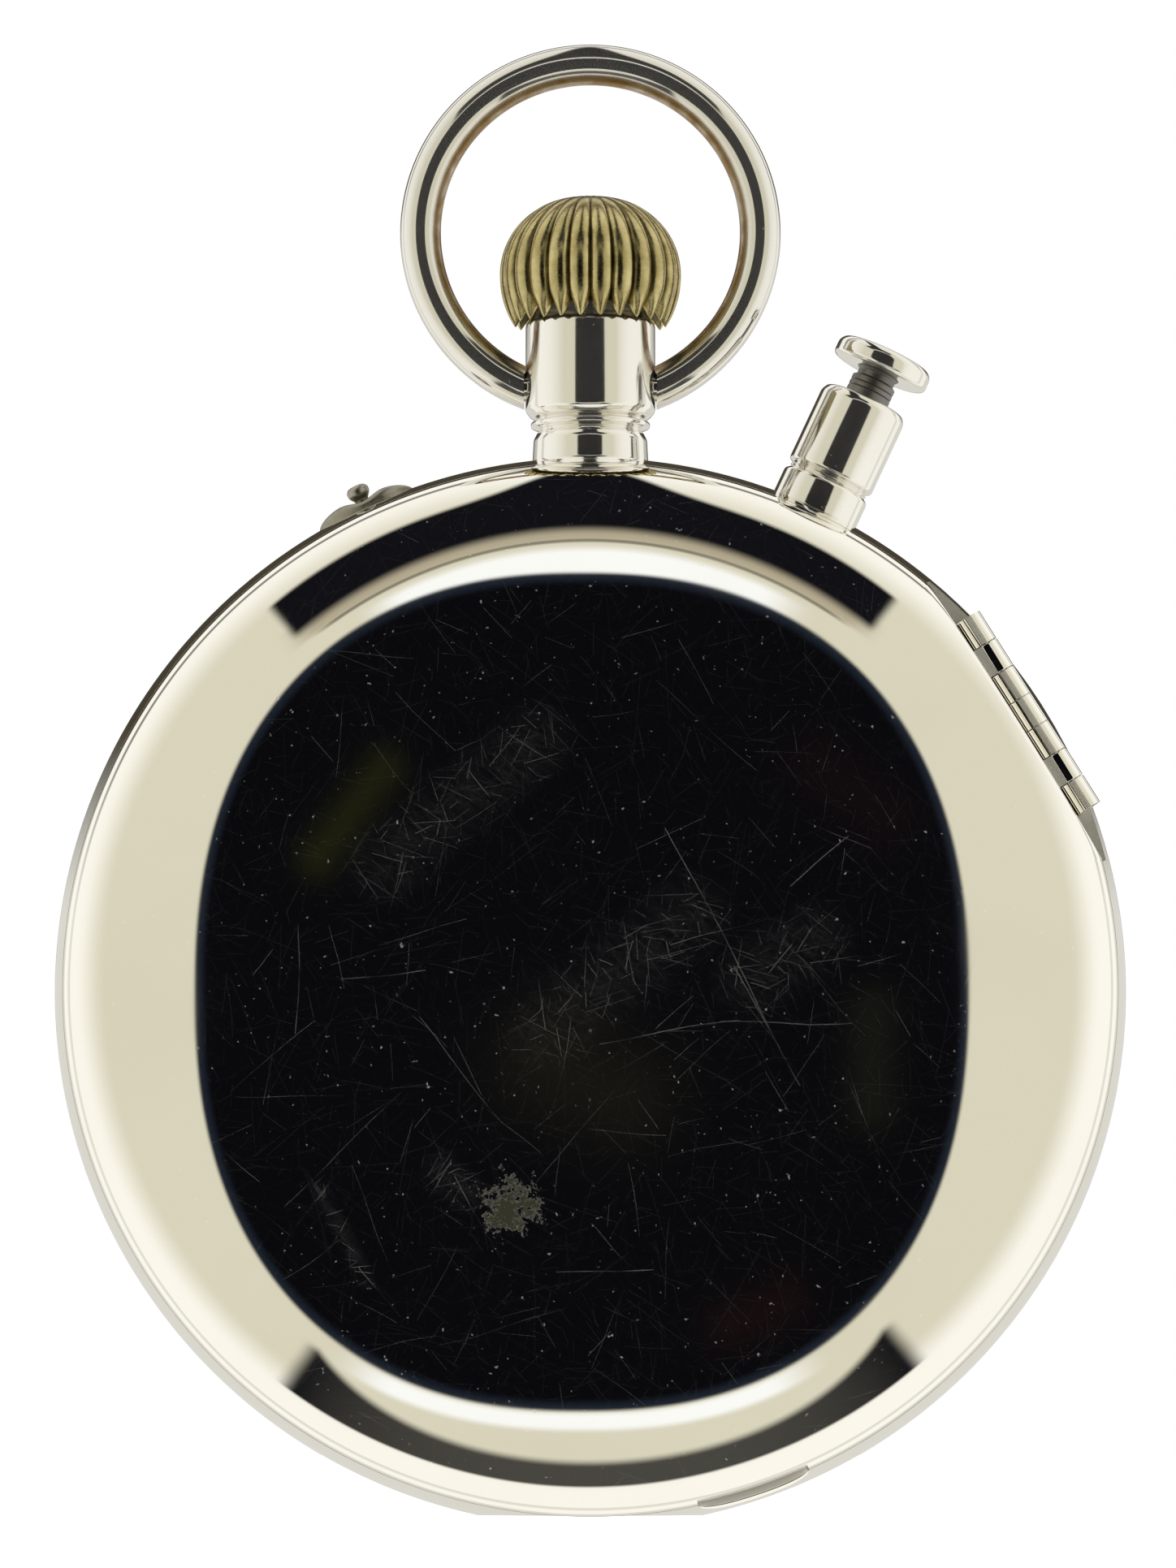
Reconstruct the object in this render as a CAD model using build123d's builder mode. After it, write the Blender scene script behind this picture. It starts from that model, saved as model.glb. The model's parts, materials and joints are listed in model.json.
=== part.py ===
"""Large open-face keyless split-seconds chronograph watch, in millimetres.

Frame: +Z runs from the centre of the case to the pendant at 12 o'clock, the dial faces -Y and the
back faces +Y. The origin is the centre of the crystal's flat outer face. Places inside the movement
are "rear-view" spots (x, z), as somebody sees them who looks at the back with the pendant up.
Depths are distances from the crystal's face, and clock angles run clockwise from 12 in that same view.
"""

import os
from math import atan2, cos, degrees, pi, radians, sin, sqrt

from build123d import *

# Case
CASE_RADIUS = 33.2  # band at its widest
MID_Y = 10.4  # depth of that widest line, of the pendant and of the winding stem
BACK_Y = 20.7  # back cover at its centre
SEAM_Y = 14.2  # shoulder of the band that the back cover closes on
SEAM_RADIUS = 32.5
FRONT_SEAM_Y = 6.2  # shoulder of the band that the bezel closes on
SHEET = 0.8  # thickness of the back cover's sheet
RIM_PLAY = 0.15  # between a snap-on rim and the band's register
MOVEMENT_RADIUS = 27.07  # a 24-ligne movement

# Fits
RUNNING = 0.05  # radial clearance of what turns or slides
PRESSED = 0.02  # radial gap of what is screwed, pressed or soldered in

# Back hinge, on a flat at this clock angle
BACK_HINGE_ANGLE = 58
BACK_HINGE_REACH = 31.85
BACK_HINGE_Y = 14.25
BACK_HINGE_LENGTH = 14.0
BACK_TUBE_RADIUS = 0.85
BACK_FLAT = 30.9  # distance of the back cover's flat from the centre
BACK_NOTCH = 10.2  # half-width of the band's notch for it

# Bezel hinge, at 6 o'clock
BEZEL_HINGE_REACH = 31.7
BEZEL_HINGE_Y = 6.15
BEZEL_HINGE_LENGTH = 10.0
BEZEL_TUBE_RADIUS = 0.75
BEZEL_FLAT = 30.85
BEZEL_NOTCH = 6.85

HINGE_PIN_RADIUS = 0.35
KNUCKLE_GAP = 0.06

# Pendant, bow and crown, as distances from the centre
PENDANT_FOOT = 32.4
PENDANT_TOP = 41.8
PENDANT_RADIUS = 4.05
PENDANT_BORE = 2.0
BOW_PIVOT = 37.7
BOW_CENTRE = 47.5
BOW_RADIUS = 10.64
BOW_WIRE_RADIUS = 1.275
BOW_PIN_RADIUS = 0.9
CROWN_FOOT = 41.6
CROWN_WAIST = 44.7  # where it is widest
CROWN_TOP = 49.6
CROWN_RADIUS = 5.7
CROWN_RIBS = 24
RIB_DEPTH = 0.4
STEM_RADIUS = 0.9
STEM_SQUARE = 1.1

# Push-pieces, at these clock angles
SPLIT_ANGLE = 25
SET_PIN_ANGLE = -25
SPLIT_STEM_RADIUS = 1.42
SPLIT_ROD_RADIUS = 0.8
SET_PIN_RADIUS = 0.45

# Depths of the dial side
CRYSTAL_BACK = 1.7
SPLIT_HAND_Y = 2.6
CHRONOGRAPH_HAND_Y = 3.1
MINUTE_HAND_Y = 3.55
HOUR_HAND_Y = 3.98
SMALL_HAND_Y = 4.38
DIAL_Y = 4.6
DIAL_THICKNESS = 0.8
DIAL_RADIUS = 27.3
SUBDIAL_RADIUS = 5.4
SUBDIAL_RECESS = 0.25

# Depths of the movement
PLATE_Y = 6.8
PLATE_BACK = 8.8
BRIDGE_Y = 12.3
BRIDGE_BACK = 13.8

# Rear-view spots of the movement
CENTRE = (0, 0)
BARREL = (-10.6, 6.1)
THIRD = (4.46, -7.82)
FOURTH = (0, -13.5)
ESCAPE = (6.07, -14.57)
PALLET = (9.45, -12.62)
BALANCE = (13.6, -10.2)
MINUTE_WORK = (-3.4, -3.39)
RECORDER = (0, 13.5)
CROWN_WHEEL = (0, 19)
COLUMN_WHEEL = (14.5, 12.5)
CHRONOGRAPH_LEVER = (9.0, 18.0)
SPLIT_LEVER = (17.0, 18.0)
CLICK = (-22.0, 8.5)
COCK_FOOT = (20.5, -1.0)
PALLET_COCK_FOOT = (13.0, -18.0)
CHRONOGRAPH_COCK_FOOT = (9.5, 4.5)
BARREL_BRIDGE_FEET = ((-22.8, -6.0), (-10.0, 21.8), (7.0, 22.8))
TRAIN_BRIDGE_FEET = ((-11.0, -17.5), (4.0, -22.5), (18.5, 8.0))
CASE_SCREW_ANGLES = (78, 196, 314)
CASE_SCREW_REACH = 26.0
DIAL_FEET_ANGLES = (45, 165, 285)
DIAL_FEET_REACH = 22.0

# Tooth counts and modules
BARREL_TEETH, CENTRE_PINION, FIRST_MODULE = 90, 12, 0.24
CENTRE_TEETH, THIRD_PINION, SECOND_MODULE = 80, 10, 0.2
THIRD_TEETH, FOURTH_PINION, THIRD_MODULE = 75, 10, 0.17
FOURTH_TEETH, ESCAPE_PINION, FOURTH_MODULE = 80, 8, 0.14
MINUTE_TEETH, CANNON_PINION, MINUTE_MODULE = 36, 12, 0.2
HOUR_TEETH, MINUTE_PINION, HOUR_MODULE = 40, 10, 0.192
RATCHET_TEETH, CROWN_WHEEL_TEETH, KEYLESS_MODULE = 58, 42, 0.334
CONTRATE_TEETH, WINDING_PINION, WINDING_MODULE = 36, 14, 0.343
ESCAPE_TEETH, ESCAPE_RADIUS = 15, 3.4
RUNNER_TEETH, RUNNER_RADIUS = 100, 6.3

os.makedirs("parts", exist_ok=True)


# Planes and helpers


def rear(depth):
    """Plane at a depth whose local x and y are rear-view x and z, and whose normal is +Y."""
    return Plane(origin=(0, depth, 0), x_dir=(-1, 0, 0), z_dir=(0, 1, 0))


def spoke(angle):
    """Plane through the case's middle whose local y points outward along a clock angle."""
    turn = radians(angle)
    return Plane(origin=(0, MID_Y, 0), x_dir=(cos(turn), 0, sin(turn)), z_dir=(0, -1, 0))


def hinge_section(angle, across):
    """Plane square to a hinge on a clock angle: local x runs outward from the centre, local y is depth."""
    turn = radians(angle)
    along = Vector(-cos(turn), 0, -sin(turn))
    return Plane(origin=along * across, x_dir=(-sin(turn), 0, cos(turn)), z_dir=along)


def spoke_end(angle, reach):
    """Plane square to a spoke at a distance from the centre: local y is +Y."""
    turn = radians(angle)
    outward = Vector(-sin(turn), 0, cos(turn))
    origin = Vector(0, MID_Y, 0) + outward * reach
    return Plane(origin=origin, x_dir=(cos(turn), 0, sin(turn)), z_dir=outward)


def clock_spot(angle, reach):
    """Rear-view spot at a clock angle and a distance from the centre."""
    turn = radians(angle)
    return (reach * sin(turn), reach * cos(turn))


def save(piece, name):
    """Labels a finished piece and writes it as a STEP file."""
    piece.part.label = name
    export_step(piece.part, f"parts/{name}.step")


def arbor(spot, *steps):
    """Coaxial steps (radius, front depth, back depth) at a rear-view spot."""
    with BuildPart() as piece:
        for radius, front, back in steps:
            with BuildSketch(rear(front)):
                with Locations(spot):
                    Circle(radius)
            extrude(amount=back - front)
    return piece.part


def turned(angle, *corners):
    """A piece turned about a spoke, from corners (radius, distance from the centre)."""
    plane = spoke(angle)
    with BuildPart() as piece:
        with BuildSketch(plane):
            Polygon(*corners, align=None)
        revolve(axis=Axis(plane.origin, plane.y_dir))
    return piece.part


def coil(angle, radius, wire, foot, top, turns):
    """An open compression spring wound about a spoke between two distances from the centre."""
    plane = spoke(angle)
    pitch = (top - foot - 2 * wire) / turns
    start = plane.origin + plane.y_dir * (foot + wire)
    with BuildPart() as piece:
        with BuildLine():
            turns_of_wire = Helix(pitch, pitch * turns, radius, center=start, direction=plane.y_dir)
        with BuildSketch(Plane(origin=turns_of_wire @ 0, z_dir=turns_of_wire % 0)):
            Circle(wire)
        sweep()
    return piece


def toothed(teeth, module, tooth_at, crossings=0, hub=0.0, rim=0.9):
    """Sketches a gear with straight-flanked teeth, one of them centred on an angle, maybe with spokes."""
    pitch_radius = teeth * module / 2
    root = pitch_radius - 1.2 * module
    tip = pitch_radius + 0.7 * module
    corners = []
    for tooth in range(teeth):
        for share, radius in ((-0.24, root), (-0.07, tip), (0.07, tip), (0.24, root)):
            turn = tooth_at + (tooth + share) * 2 * pi / teeth
            corners.append((radius * sin(turn), radius * cos(turn)))
    Polygon(*corners, align=None)
    if crossings:
        Circle(root - rim, mode=Mode.SUBTRACT)
        Circle(hub)
        with PolarLocations(0, crossings):
            Rectangle(0.08 * pitch_radius + 0.3, root - rim / 2, align=(Align.CENTER, Align.MIN))


def bearing(start, end):
    """Clock angle, in radians, of the line from one rear-view spot to another."""
    return atan2(end[0] - start[0], end[1] - start[1])


def facing_gap(teeth, start, end):
    """Tooth angle that turns a gap of the gear at start towards the gear at end."""
    return bearing(start, end) + pi / teeth


def link(start, end, start_radius, end_radius):
    """Sketches a lever arm or a cock: the hull of two discs at two rear-view spots."""
    with BuildSketch(mode=Mode.PRIVATE) as arm:
        with Locations(start):
            Circle(start_radius)
        with Locations(end):
            Circle(end_radius)
        make_hull()
    add(arm.sketch)


def spiral(inner, outer, turns, width):
    """Sketches a spiral ribbon made of half-turns about two centres, each wider than the last."""
    growth = (outer - inner) / (2 * turns)
    with BuildSketch(mode=Mode.PRIVATE) as strip:
        with BuildLine():
            for edge in (-width / 2, width / 2):
                for half in range(2 * turns):
                    side = 1 - 2 * (half % 2)
                    centre = growth * (half % 2)
                    reach = inner + half * growth + edge
                    ends = (centre + side * reach, centre - side * reach)
                    ThreePointArc((ends[0], 0), (centre, side * reach), (ends[1], 0))
            for end in (inner, outer):
                Line((end - width / 2, 0), (end + width / 2, 0))
        make_face()
    add(strip.sketch)


def slab(angle, across, reach, depth, mode=Mode.ADD):
    """Extrudes a rectangle along a hinge, from ranges along it, outward and in depth."""
    middle = (sum(reach) / 2, sum(depth) / 2)
    with BuildSketch(hinge_section(angle, across[0])) as section:
        with Locations(middle):
            Rectangle(reach[1] - reach[0], depth[1] - depth[0])
    extrude(section.sketch, amount=across[1] - across[0], mode=mode)


def knuckle(angle, across, axis, radius):
    """Extrudes one hinge tube between two places along the hinge; its bore is cut by pin_bore."""
    with BuildSketch(hinge_section(angle, across[0])) as section:
        with Locations(axis):
            Circle(radius)
    extrude(section.sketch, amount=across[1] - across[0])


def pin_bore(angle, length, axis):
    """Cuts the bore of a hinge pin along the whole hinge."""
    with BuildSketch(hinge_section(angle, -length / 2 - 1)) as section:
        with Locations(axis):
            Circle(HINGE_PIN_RADIUS + RUNNING)
    extrude(section.sketch, amount=length + 2, mode=Mode.SUBTRACT)


def knuckle_spans(length, count):
    """Start and end of each hinge knuckle along the hinge, measured from its middle."""
    pitch = length / count
    starts = [index * pitch - length / 2 for index in range(count)]
    return [(start + KNUCKLE_GAP / 2, start + pitch - KNUCKLE_GAP / 2) for start in starts]


# Band, with its registers, the two hinge stations and the seats of what is set into it

BACK_AXIS = (BACK_HINGE_REACH, BACK_HINGE_Y)
BEZEL_AXIS = (BEZEL_HINGE_REACH, BEZEL_HINGE_Y)
BACK_KNUCKLES = knuckle_spans(BACK_HINGE_LENGTH, 7)
BEZEL_KNUCKLES = knuckle_spans(BEZEL_HINGE_LENGTH, 5)
SIX_OCLOCK = 180
FRONT_SEAM_RADIUS = 32.2
REGISTER_OUTER = 31.2
REGISTER_INNER = 30.4
WALL_INNER = 29.2
LEDGE_INNER = 26.3
MOVEMENT_SEAT = MOVEMENT_RADIUS + 0.13
SPLIT_SEAT = 32.75
GUARD_SEAT = 32.9
GUARD_HALF_LENGTH = 3.25
GUARD_HALF_WIDTH = 1.5
PENDANT_SHANK = 3.2
PENDANT_BASE = 3.7
SPLIT_SHANK = 2.0
SPLIT_BARREL_RADIUS = 2.8
SET_PIN_WELL = 29.9
SET_PIN_WELL_RADIUS = 1.0


def boat_outline(play=0.0):
    """Sketches the pin guard's boat shape: two arcs that meet in points."""
    length = GUARD_HALF_LENGTH + play
    width = GUARD_HALF_WIDTH + play
    with BuildSketch(mode=Mode.PRIVATE) as boat:
        with BuildLine():
            ThreePointArc((-length, 0), (0, width), (length, 0))
            ThreePointArc((-length, 0), (0, -width), (length, 0))
        make_face()
    add(boat.sketch)


def stepped_bore(angle, inner, outer_radius):
    """Cuts a hole along a spoke through the band: narrow up to a step, then wider to the outside."""
    radius, step = inner
    corners = ((0, 28), (radius, 28), (radius, step), (outer_radius, step), (outer_radius, 36), (0, 36))
    add(turned(angle, *corners), mode=Mode.SUBTRACT)


with BuildPart() as case_middle:
    with BuildSketch(Plane.XY):
        with BuildLine():
            inside = Polyline(
                (FRONT_SEAM_RADIUS, FRONT_SEAM_Y),
                (REGISTER_INNER, FRONT_SEAM_Y),
                (REGISTER_INNER, 4.8),
                (27.7, 4.8),
                (27.7, DIAL_Y + DIAL_THICKNESS + RUNNING),
                (LEDGE_INNER, DIAL_Y + DIAL_THICKNESS + RUNNING),
                (LEDGE_INNER, PLATE_Y),
                (MOVEMENT_SEAT, PLATE_Y),
                (MOVEMENT_SEAT, PLATE_BACK),
                (WALL_INNER, PLATE_BACK),
                (WALL_INNER, SEAM_Y + 0.2),
                (REGISTER_INNER, SEAM_Y + 0.2),
                (REGISTER_INNER, SEAM_Y + 0.8),
                (REGISTER_OUTER, SEAM_Y + 0.8),
                (REGISTER_OUTER, SEAM_Y),
                (SEAM_RADIUS, SEAM_Y),
            )
            ThreePointArc(inside @ 1, (CASE_RADIUS, MID_Y), inside @ 0)
        make_face()
    revolve(axis=Axis.Y)

    # Back hinge notch with the band's own tubes standing on its floor
    slab(BACK_HINGE_ANGLE, (-BACK_NOTCH, BACK_NOTCH), (29, 35), (13.35, 16), Mode.SUBTRACT)
    for span in BACK_KNUCKLES[::3]:
        slab(BACK_HINGE_ANGLE, span, (BACK_FLAT + 0.45, BACK_HINGE_REACH + 0.45), (13.2, BACK_HINGE_Y))
        knuckle(BACK_HINGE_ANGLE, span, BACK_AXIS, BACK_TUBE_RADIUS)
    pin_bore(BACK_HINGE_ANGLE, BACK_HINGE_LENGTH, BACK_AXIS)

    # Bezel hinge notch and the flat outside it
    slab(SIX_OCLOCK, (-BEZEL_NOTCH - 0.15, BEZEL_NOTCH + 0.15), (29.5, 35), (4, 6.95), Mode.SUBTRACT)
    flat_reach = BEZEL_HINGE_REACH + BEZEL_TUBE_RADIUS
    slab(SIX_OCLOCK, (-BEZEL_NOTCH, BEZEL_NOTCH), (flat_reach, 35), (4, SEAM_Y + 1), Mode.SUBTRACT)
    for span in BEZEL_KNUCKLES[::2]:
        slab(SIX_OCLOCK, span, (BEZEL_FLAT + 0.45, BEZEL_HINGE_REACH + 0.4), (BEZEL_HINGE_Y, 7.1))
        knuckle(SIX_OCLOCK, span, BEZEL_AXIS, BEZEL_TUBE_RADIUS)
    pin_bore(SIX_OCLOCK, BEZEL_HINGE_LENGTH, BEZEL_AXIS)

    # Seats of the pendant, the split push-piece, the setting pin and its guard
    stepped_bore(0, (PENDANT_SHANK + PRESSED, PENDANT_FOOT), PENDANT_BASE + PRESSED)
    stepped_bore(SPLIT_ANGLE, (SPLIT_SHANK + PRESSED, SPLIT_SEAT), SPLIT_BARREL_RADIUS + PRESSED)
    stepped_bore(SET_PIN_ANGLE, (SET_PIN_RADIUS + RUNNING, SET_PIN_WELL), SET_PIN_WELL_RADIUS)
    with BuildSketch(spoke_end(SET_PIN_ANGLE, GUARD_SEAT)):
        boat_outline(PRESSED)
    extrude(amount=3, mode=Mode.SUBTRACT)
save(case_middle, "case_middle")


# Back cover: a shallow dome of tangent arcs with a flat for its hinge and a lip for the thumb

COVER_STEPS = ((24.0, 2.35), (28.0, 3.3), (30.5, 4.2), (SEAM_RADIUS, 6.268))
INNER_RADIUS = REGISTER_OUTER + RIM_PLAY
INNER_STEPS = ((23.8, 2.3), (27.8, 3.23), (30.0, 4.0), (INNER_RADIUS, 4.7))
LIP_ANGLE = 162
LIP_RADIUS = 33.0
COVER_FOOT = SEAM_Y + 0.05


def dome(top, rim, foot, steps):
    """Outline of half a dome from its axis to its rim, in arcs that run into one another."""
    start = (0, top)
    tangent = (1, 0)
    for reach, drop in steps:
        arc = TangentArc(start, (reach, top - drop), tangent=tangent)
        start = arc @ 1
        tangent = arc % 1
    Polyline(start, (rim, foot), (0, foot), (0, top))


with BuildPart() as back_cover:
    with BuildSketch(Plane.XY) as shell_section:
        with BuildLine() as outer_line:
            dome(BACK_Y, SEAM_RADIUS, COVER_FOOT, COVER_STEPS)
        make_face(outer_line.edges())
    revolve(axis=Axis.Y)
    with BuildPart(mode=Mode.PRIVATE) as cavity:
        with BuildSketch(Plane.XY):
            with BuildLine() as inner_line:
                dome(BACK_Y - SHEET, INNER_RADIUS, COVER_FOOT - 1, INNER_STEPS)
            make_face(inner_line.edges())
        revolve(axis=Axis.Y)
        slab(BACK_HINGE_ANGLE, (-20, 20), (BACK_FLAT - 1.1, 40), (10, 25), Mode.SUBTRACT)
    add(cavity.part, mode=Mode.SUBTRACT)
    with BuildSketch(rear(COVER_FOOT)):
        Circle(LIP_RADIUS)
        Circle(SEAM_RADIUS - 0.4, mode=Mode.SUBTRACT)
        Polygon((0, 0), clock_spot(LIP_ANGLE - 6.3, 45), clock_spot(LIP_ANGLE + 6.3, 45), align=None,
                mode=Mode.INTERSECT)
    extrude(amount=0.6)
    slab(BACK_HINGE_ANGLE, (-20, 20), (BACK_FLAT, 40), (10, 25), Mode.SUBTRACT)
    for index in (1, 5):
        slab(BACK_HINGE_ANGLE, BACK_KNUCKLES[index], (BACK_FLAT - 0.2, BACK_HINGE_REACH),
             (COVER_FOOT, BACK_HINGE_Y + BACK_TUBE_RADIUS))
        knuckle(BACK_HINGE_ANGLE, BACK_KNUCKLES[index], BACK_AXIS, BACK_TUBE_RADIUS)
    pin_bore(BACK_HINGE_ANGLE, BACK_HINGE_LENGTH, BACK_AXIS)
save(back_cover, "back_cover")


# Inner dust cover on the same hinge, its tubes reached by webs that pass under the back cover's flat

CUVETTE_RADIUS = 30.25
CUVETTE_FOOT = SEAM_Y + 0.25
CUVETTE_FLAT = BACK_FLAT - 1.3

with BuildPart() as cuvette:
    with BuildSketch(Plane.XY):
        with BuildLine():
            top = TangentArc((0, 17.75), (27.0, 16.3), tangent=(1, 0))
            rim = Polyline(top @ 1, (29.6, 15.3), (CUVETTE_RADIUS, 15.0), (CUVETTE_RADIUS, CUVETTE_FOOT),
                           (29.3, CUVETTE_FOOT), (29.0, 14.9), (26.4, 15.65))
            under = TangentArc((0, 17.15), rim @ 1, tangent=(1, 0))
            Line(under @ 0, top @ 0)
        make_face()
    revolve(axis=Axis.Y)
    slab(BACK_HINGE_ANGLE, (-20, 20), (CUVETTE_FLAT, 40), (10, 25), Mode.SUBTRACT)
    for index in (2, 4):
        slab(BACK_HINGE_ANGLE, BACK_KNUCKLES[index], (29.2, CUVETTE_FLAT), (13.5, 15.0))
        slab(BACK_HINGE_ANGLE, BACK_KNUCKLES[index], (29.2, BACK_HINGE_REACH), (13.5, 14.1))
        knuckle(BACK_HINGE_ANGLE, BACK_KNUCKLES[index], BACK_AXIS, BACK_TUBE_RADIUS)
    pin_bore(BACK_HINGE_ANGLE, BACK_HINGE_LENGTH, BACK_AXIS)
save(cuvette, "cuvette")


# Bezel with the crystal set in it

GLASS_RADIUS = 28.3

with BuildPart() as bezel:
    with BuildSketch(Plane.XY):
        with BuildLine():
            bezel_inside = Polyline(
                (28.9, 1.0),
                (GLASS_RADIUS + RUNNING, 1.5),
                (GLASS_RADIUS + RUNNING, 2.85),
                (26.9, 2.85),
                (26.9, 4.4),
                (27.4, 4.4),
                (27.4, 4.65),
                (REGISTER_INNER + RIM_PLAY, 4.65),
                (REGISTER_INNER + RIM_PLAY, FRONT_SEAM_Y - 0.1),
                (FRONT_SEAM_RADIUS, FRONT_SEAM_Y - 0.1),
            )
            ThreePointArc(bezel_inside @ 1, (31.7, 3.2), bezel_inside @ 0)
        make_face()
    revolve(axis=Axis.Y)
    slab(SIX_OCLOCK, (-BEZEL_NOTCH, BEZEL_NOTCH), (29.7, BEZEL_FLAT), (4.0, FRONT_SEAM_Y - 0.1))
    slab(SIX_OCLOCK, (-BEZEL_NOTCH, BEZEL_NOTCH), (BEZEL_FLAT, 40), (0, 7), Mode.SUBTRACT)
    for span in BEZEL_KNUCKLES[1::2]:
        slab(SIX_OCLOCK, span, (BEZEL_FLAT - 0.2, BEZEL_HINGE_REACH),
             (BEZEL_HINGE_Y - BEZEL_TUBE_RADIUS, FRONT_SEAM_Y - 0.1))
        knuckle(SIX_OCLOCK, span, BEZEL_AXIS, BEZEL_TUBE_RADIUS)
    pin_bore(SIX_OCLOCK, BEZEL_HINGE_LENGTH, BEZEL_AXIS)
save(bezel, "bezel")

with BuildPart() as crystal:
    with BuildSketch(Plane.XY):
        Polygon((0, 0), (25.6, 0), (GLASS_RADIUS, 1.5), (GLASS_RADIUS, 2.8), (26.5, 2.8),
                (24.8, CRYSTAL_BACK), (0, CRYSTAL_BACK), align=None)
    revolve(axis=Axis.Y)
save(crystal, "crystal")


# Both hinge pins, each a little shorter than its tubes

with BuildPart() as hinge_pins:
    for angle, length, axis in (
        (BACK_HINGE_ANGLE, BACK_HINGE_LENGTH, BACK_AXIS),
        (SIX_OCLOCK, BEZEL_HINGE_LENGTH, BEZEL_AXIS),
    ):
        with BuildSketch(hinge_section(angle, 0.1 - length / 2)):
            with Locations(axis):
                Circle(HINGE_PIN_RADIUS)
        extrude(amount=length - 0.2)
save(hinge_pins, "hinge_pins")


# Pendant, its sleeve, the bow, the crown and the stem

SLEEVE_TOP = 35.0
COLLAR_FOOT = 39.0
COLLAR_TOP = 40.0
BOW_GAP = 4.15
STEM_TIP = 22.3
STEM_TOP = 46.4
STEM_PIVOT_RADIUS = 0.5
SQUARE_FOOT = 24.35
SQUARE_TOP = 26.6

with BuildPart() as pendant:
    add(turned(0, (PENDANT_BORE, 29.5), (PENDANT_SHANK, 29.5), (PENDANT_SHANK, PENDANT_FOOT),
               (PENDANT_BASE, PENDANT_FOOT), (PENDANT_BASE, 34.6), (3.15, 34.7), (3.15, 35.5), (3.75, 35.6),
               (PENDANT_RADIUS, 35.9), (PENDANT_RADIUS, PENDANT_TOP - 0.25), (3.8, PENDANT_TOP),
               (PENDANT_BORE, PENDANT_TOP)))
    for side in (-1, 1):
        with BuildSketch(Plane.YZ.offset(side * 2.7)):
            with Locations((MID_Y, BOW_PIVOT)):
                Circle(BOW_PIN_RADIUS + RUNNING)
        extrude(amount=side * 3, mode=Mode.SUBTRACT)
save(pendant, "pendant")

with BuildPart() as pendant_sleeve:
    add(turned(0, (STEM_RADIUS + RUNNING, 30.0), (PENDANT_BORE - PRESSED, 30.0),
               (PENDANT_BORE - PRESSED, SLEEVE_TOP), (STEM_RADIUS + RUNNING, SLEEVE_TOP)))
save(pendant_sleeve, "pendant_sleeve")

with BuildPart() as bow:
    with BuildSketch(Plane.XY.offset(BOW_CENTRE)):
        with Locations((BOW_RADIUS, MID_Y)):
            Circle(BOW_WIRE_RADIUS)
    revolve(axis=Axis((0, MID_Y, BOW_CENTRE), (0, 1, 0)))
    with Locations((0, MID_Y, BOW_PIVOT)):
        Box(2 * BOW_GAP, 4, 8, mode=Mode.SUBTRACT)
    for side in (-1, 1):
        with BuildSketch(Plane.YZ.offset(side * 2.9)):
            with Locations((MID_Y, BOW_PIVOT)):
                Circle(BOW_PIN_RADIUS)
        extrude(amount=side * 1.6)
save(bow, "bow")

CROWN_ARC = (CROWN_RADIUS**2 + (CROWN_TOP - CROWN_WAIST) ** 2) / (2 * CROWN_RADIUS)
CROWN_FLAT = 0.6  # radius of the flat on top
CROWN_HOLLOW = 42.7  # how far the hollow that covers the pendant's end reaches up
RIB_END = 1.6  # radius where the grooves end


def crown_height(radius, depth=0.0):
    """Height of the crown's dome at a radius, or of the floor of its grooves."""
    return CROWN_WAIST + sqrt((CROWN_ARC - depth) ** 2 - (radius + CROWN_ARC - CROWN_RADIUS) ** 2)


with BuildPart() as rib_slot:
    with BuildSketch(Plane.XZ):
        with BuildLine():
            waist = (CROWN_RADIUS - RIB_DEPTH, CROWN_WAIST)
            valley = TangentArc(waist, (4.4, CROWN_FOOT - 0.1), tangent=(0, -1))
            shoulder = TangentArc(waist, (RIB_END, crown_height(RIB_END, RIB_DEPTH)), tangent=(0, 1))
            Polyline(shoulder @ 1, (RIB_END, CROWN_TOP + 1), (8, CROWN_TOP + 1), (8, CROWN_FOOT - 0.1),
                     valley @ 1)
        make_face()
    extrude(amount=0.12, both=True)

with BuildPart() as crown:
    with BuildSketch(spoke(0)):
        with BuildLine():
            waist = (CROWN_RADIUS, CROWN_WAIST)
            flat_height = crown_height(CROWN_FLAT)
            skirt = TangentArc(waist, (4.75, CROWN_FOOT), tangent=(0, -1))
            top = TangentArc(waist, (CROWN_FLAT, flat_height), tangent=(0, 1))
            Polyline(top @ 1, (0, flat_height), (0, CROWN_HOLLOW), (PENDANT_RADIUS + 0.1, CROWN_HOLLOW),
                     (PENDANT_RADIUS + 0.1, CROWN_FOOT), skirt @ 1)
        make_face()
    revolve(axis=Axis((0, MID_Y, 0), (0, 0, 1)))
    with Locations((0, MID_Y, 0)):
        with PolarLocations(0, CROWN_RIBS):
            add(rib_slot.part, mode=Mode.SUBTRACT)
    with BuildSketch(spoke_end(0, 42)):
        Circle(STEM_RADIUS + PRESSED)
    extrude(amount=4.5, mode=Mode.SUBTRACT)
save(crown, "crown")

with BuildPart() as winding_stem:
    add(turned(0, (0, STEM_TIP), (STEM_PIVOT_RADIUS, STEM_TIP), (STEM_PIVOT_RADIUS, SQUARE_TOP),
               (STEM_RADIUS, SQUARE_TOP), (STEM_RADIUS, STEM_TOP), (0, STEM_TOP)))
    with BuildSketch(spoke_end(0, SQUARE_FOOT)):
        Rectangle(STEM_SQUARE, STEM_SQUARE)
    extrude(amount=SQUARE_TOP - SQUARE_FOOT)
save(winding_stem, "winding_stem")

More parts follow.
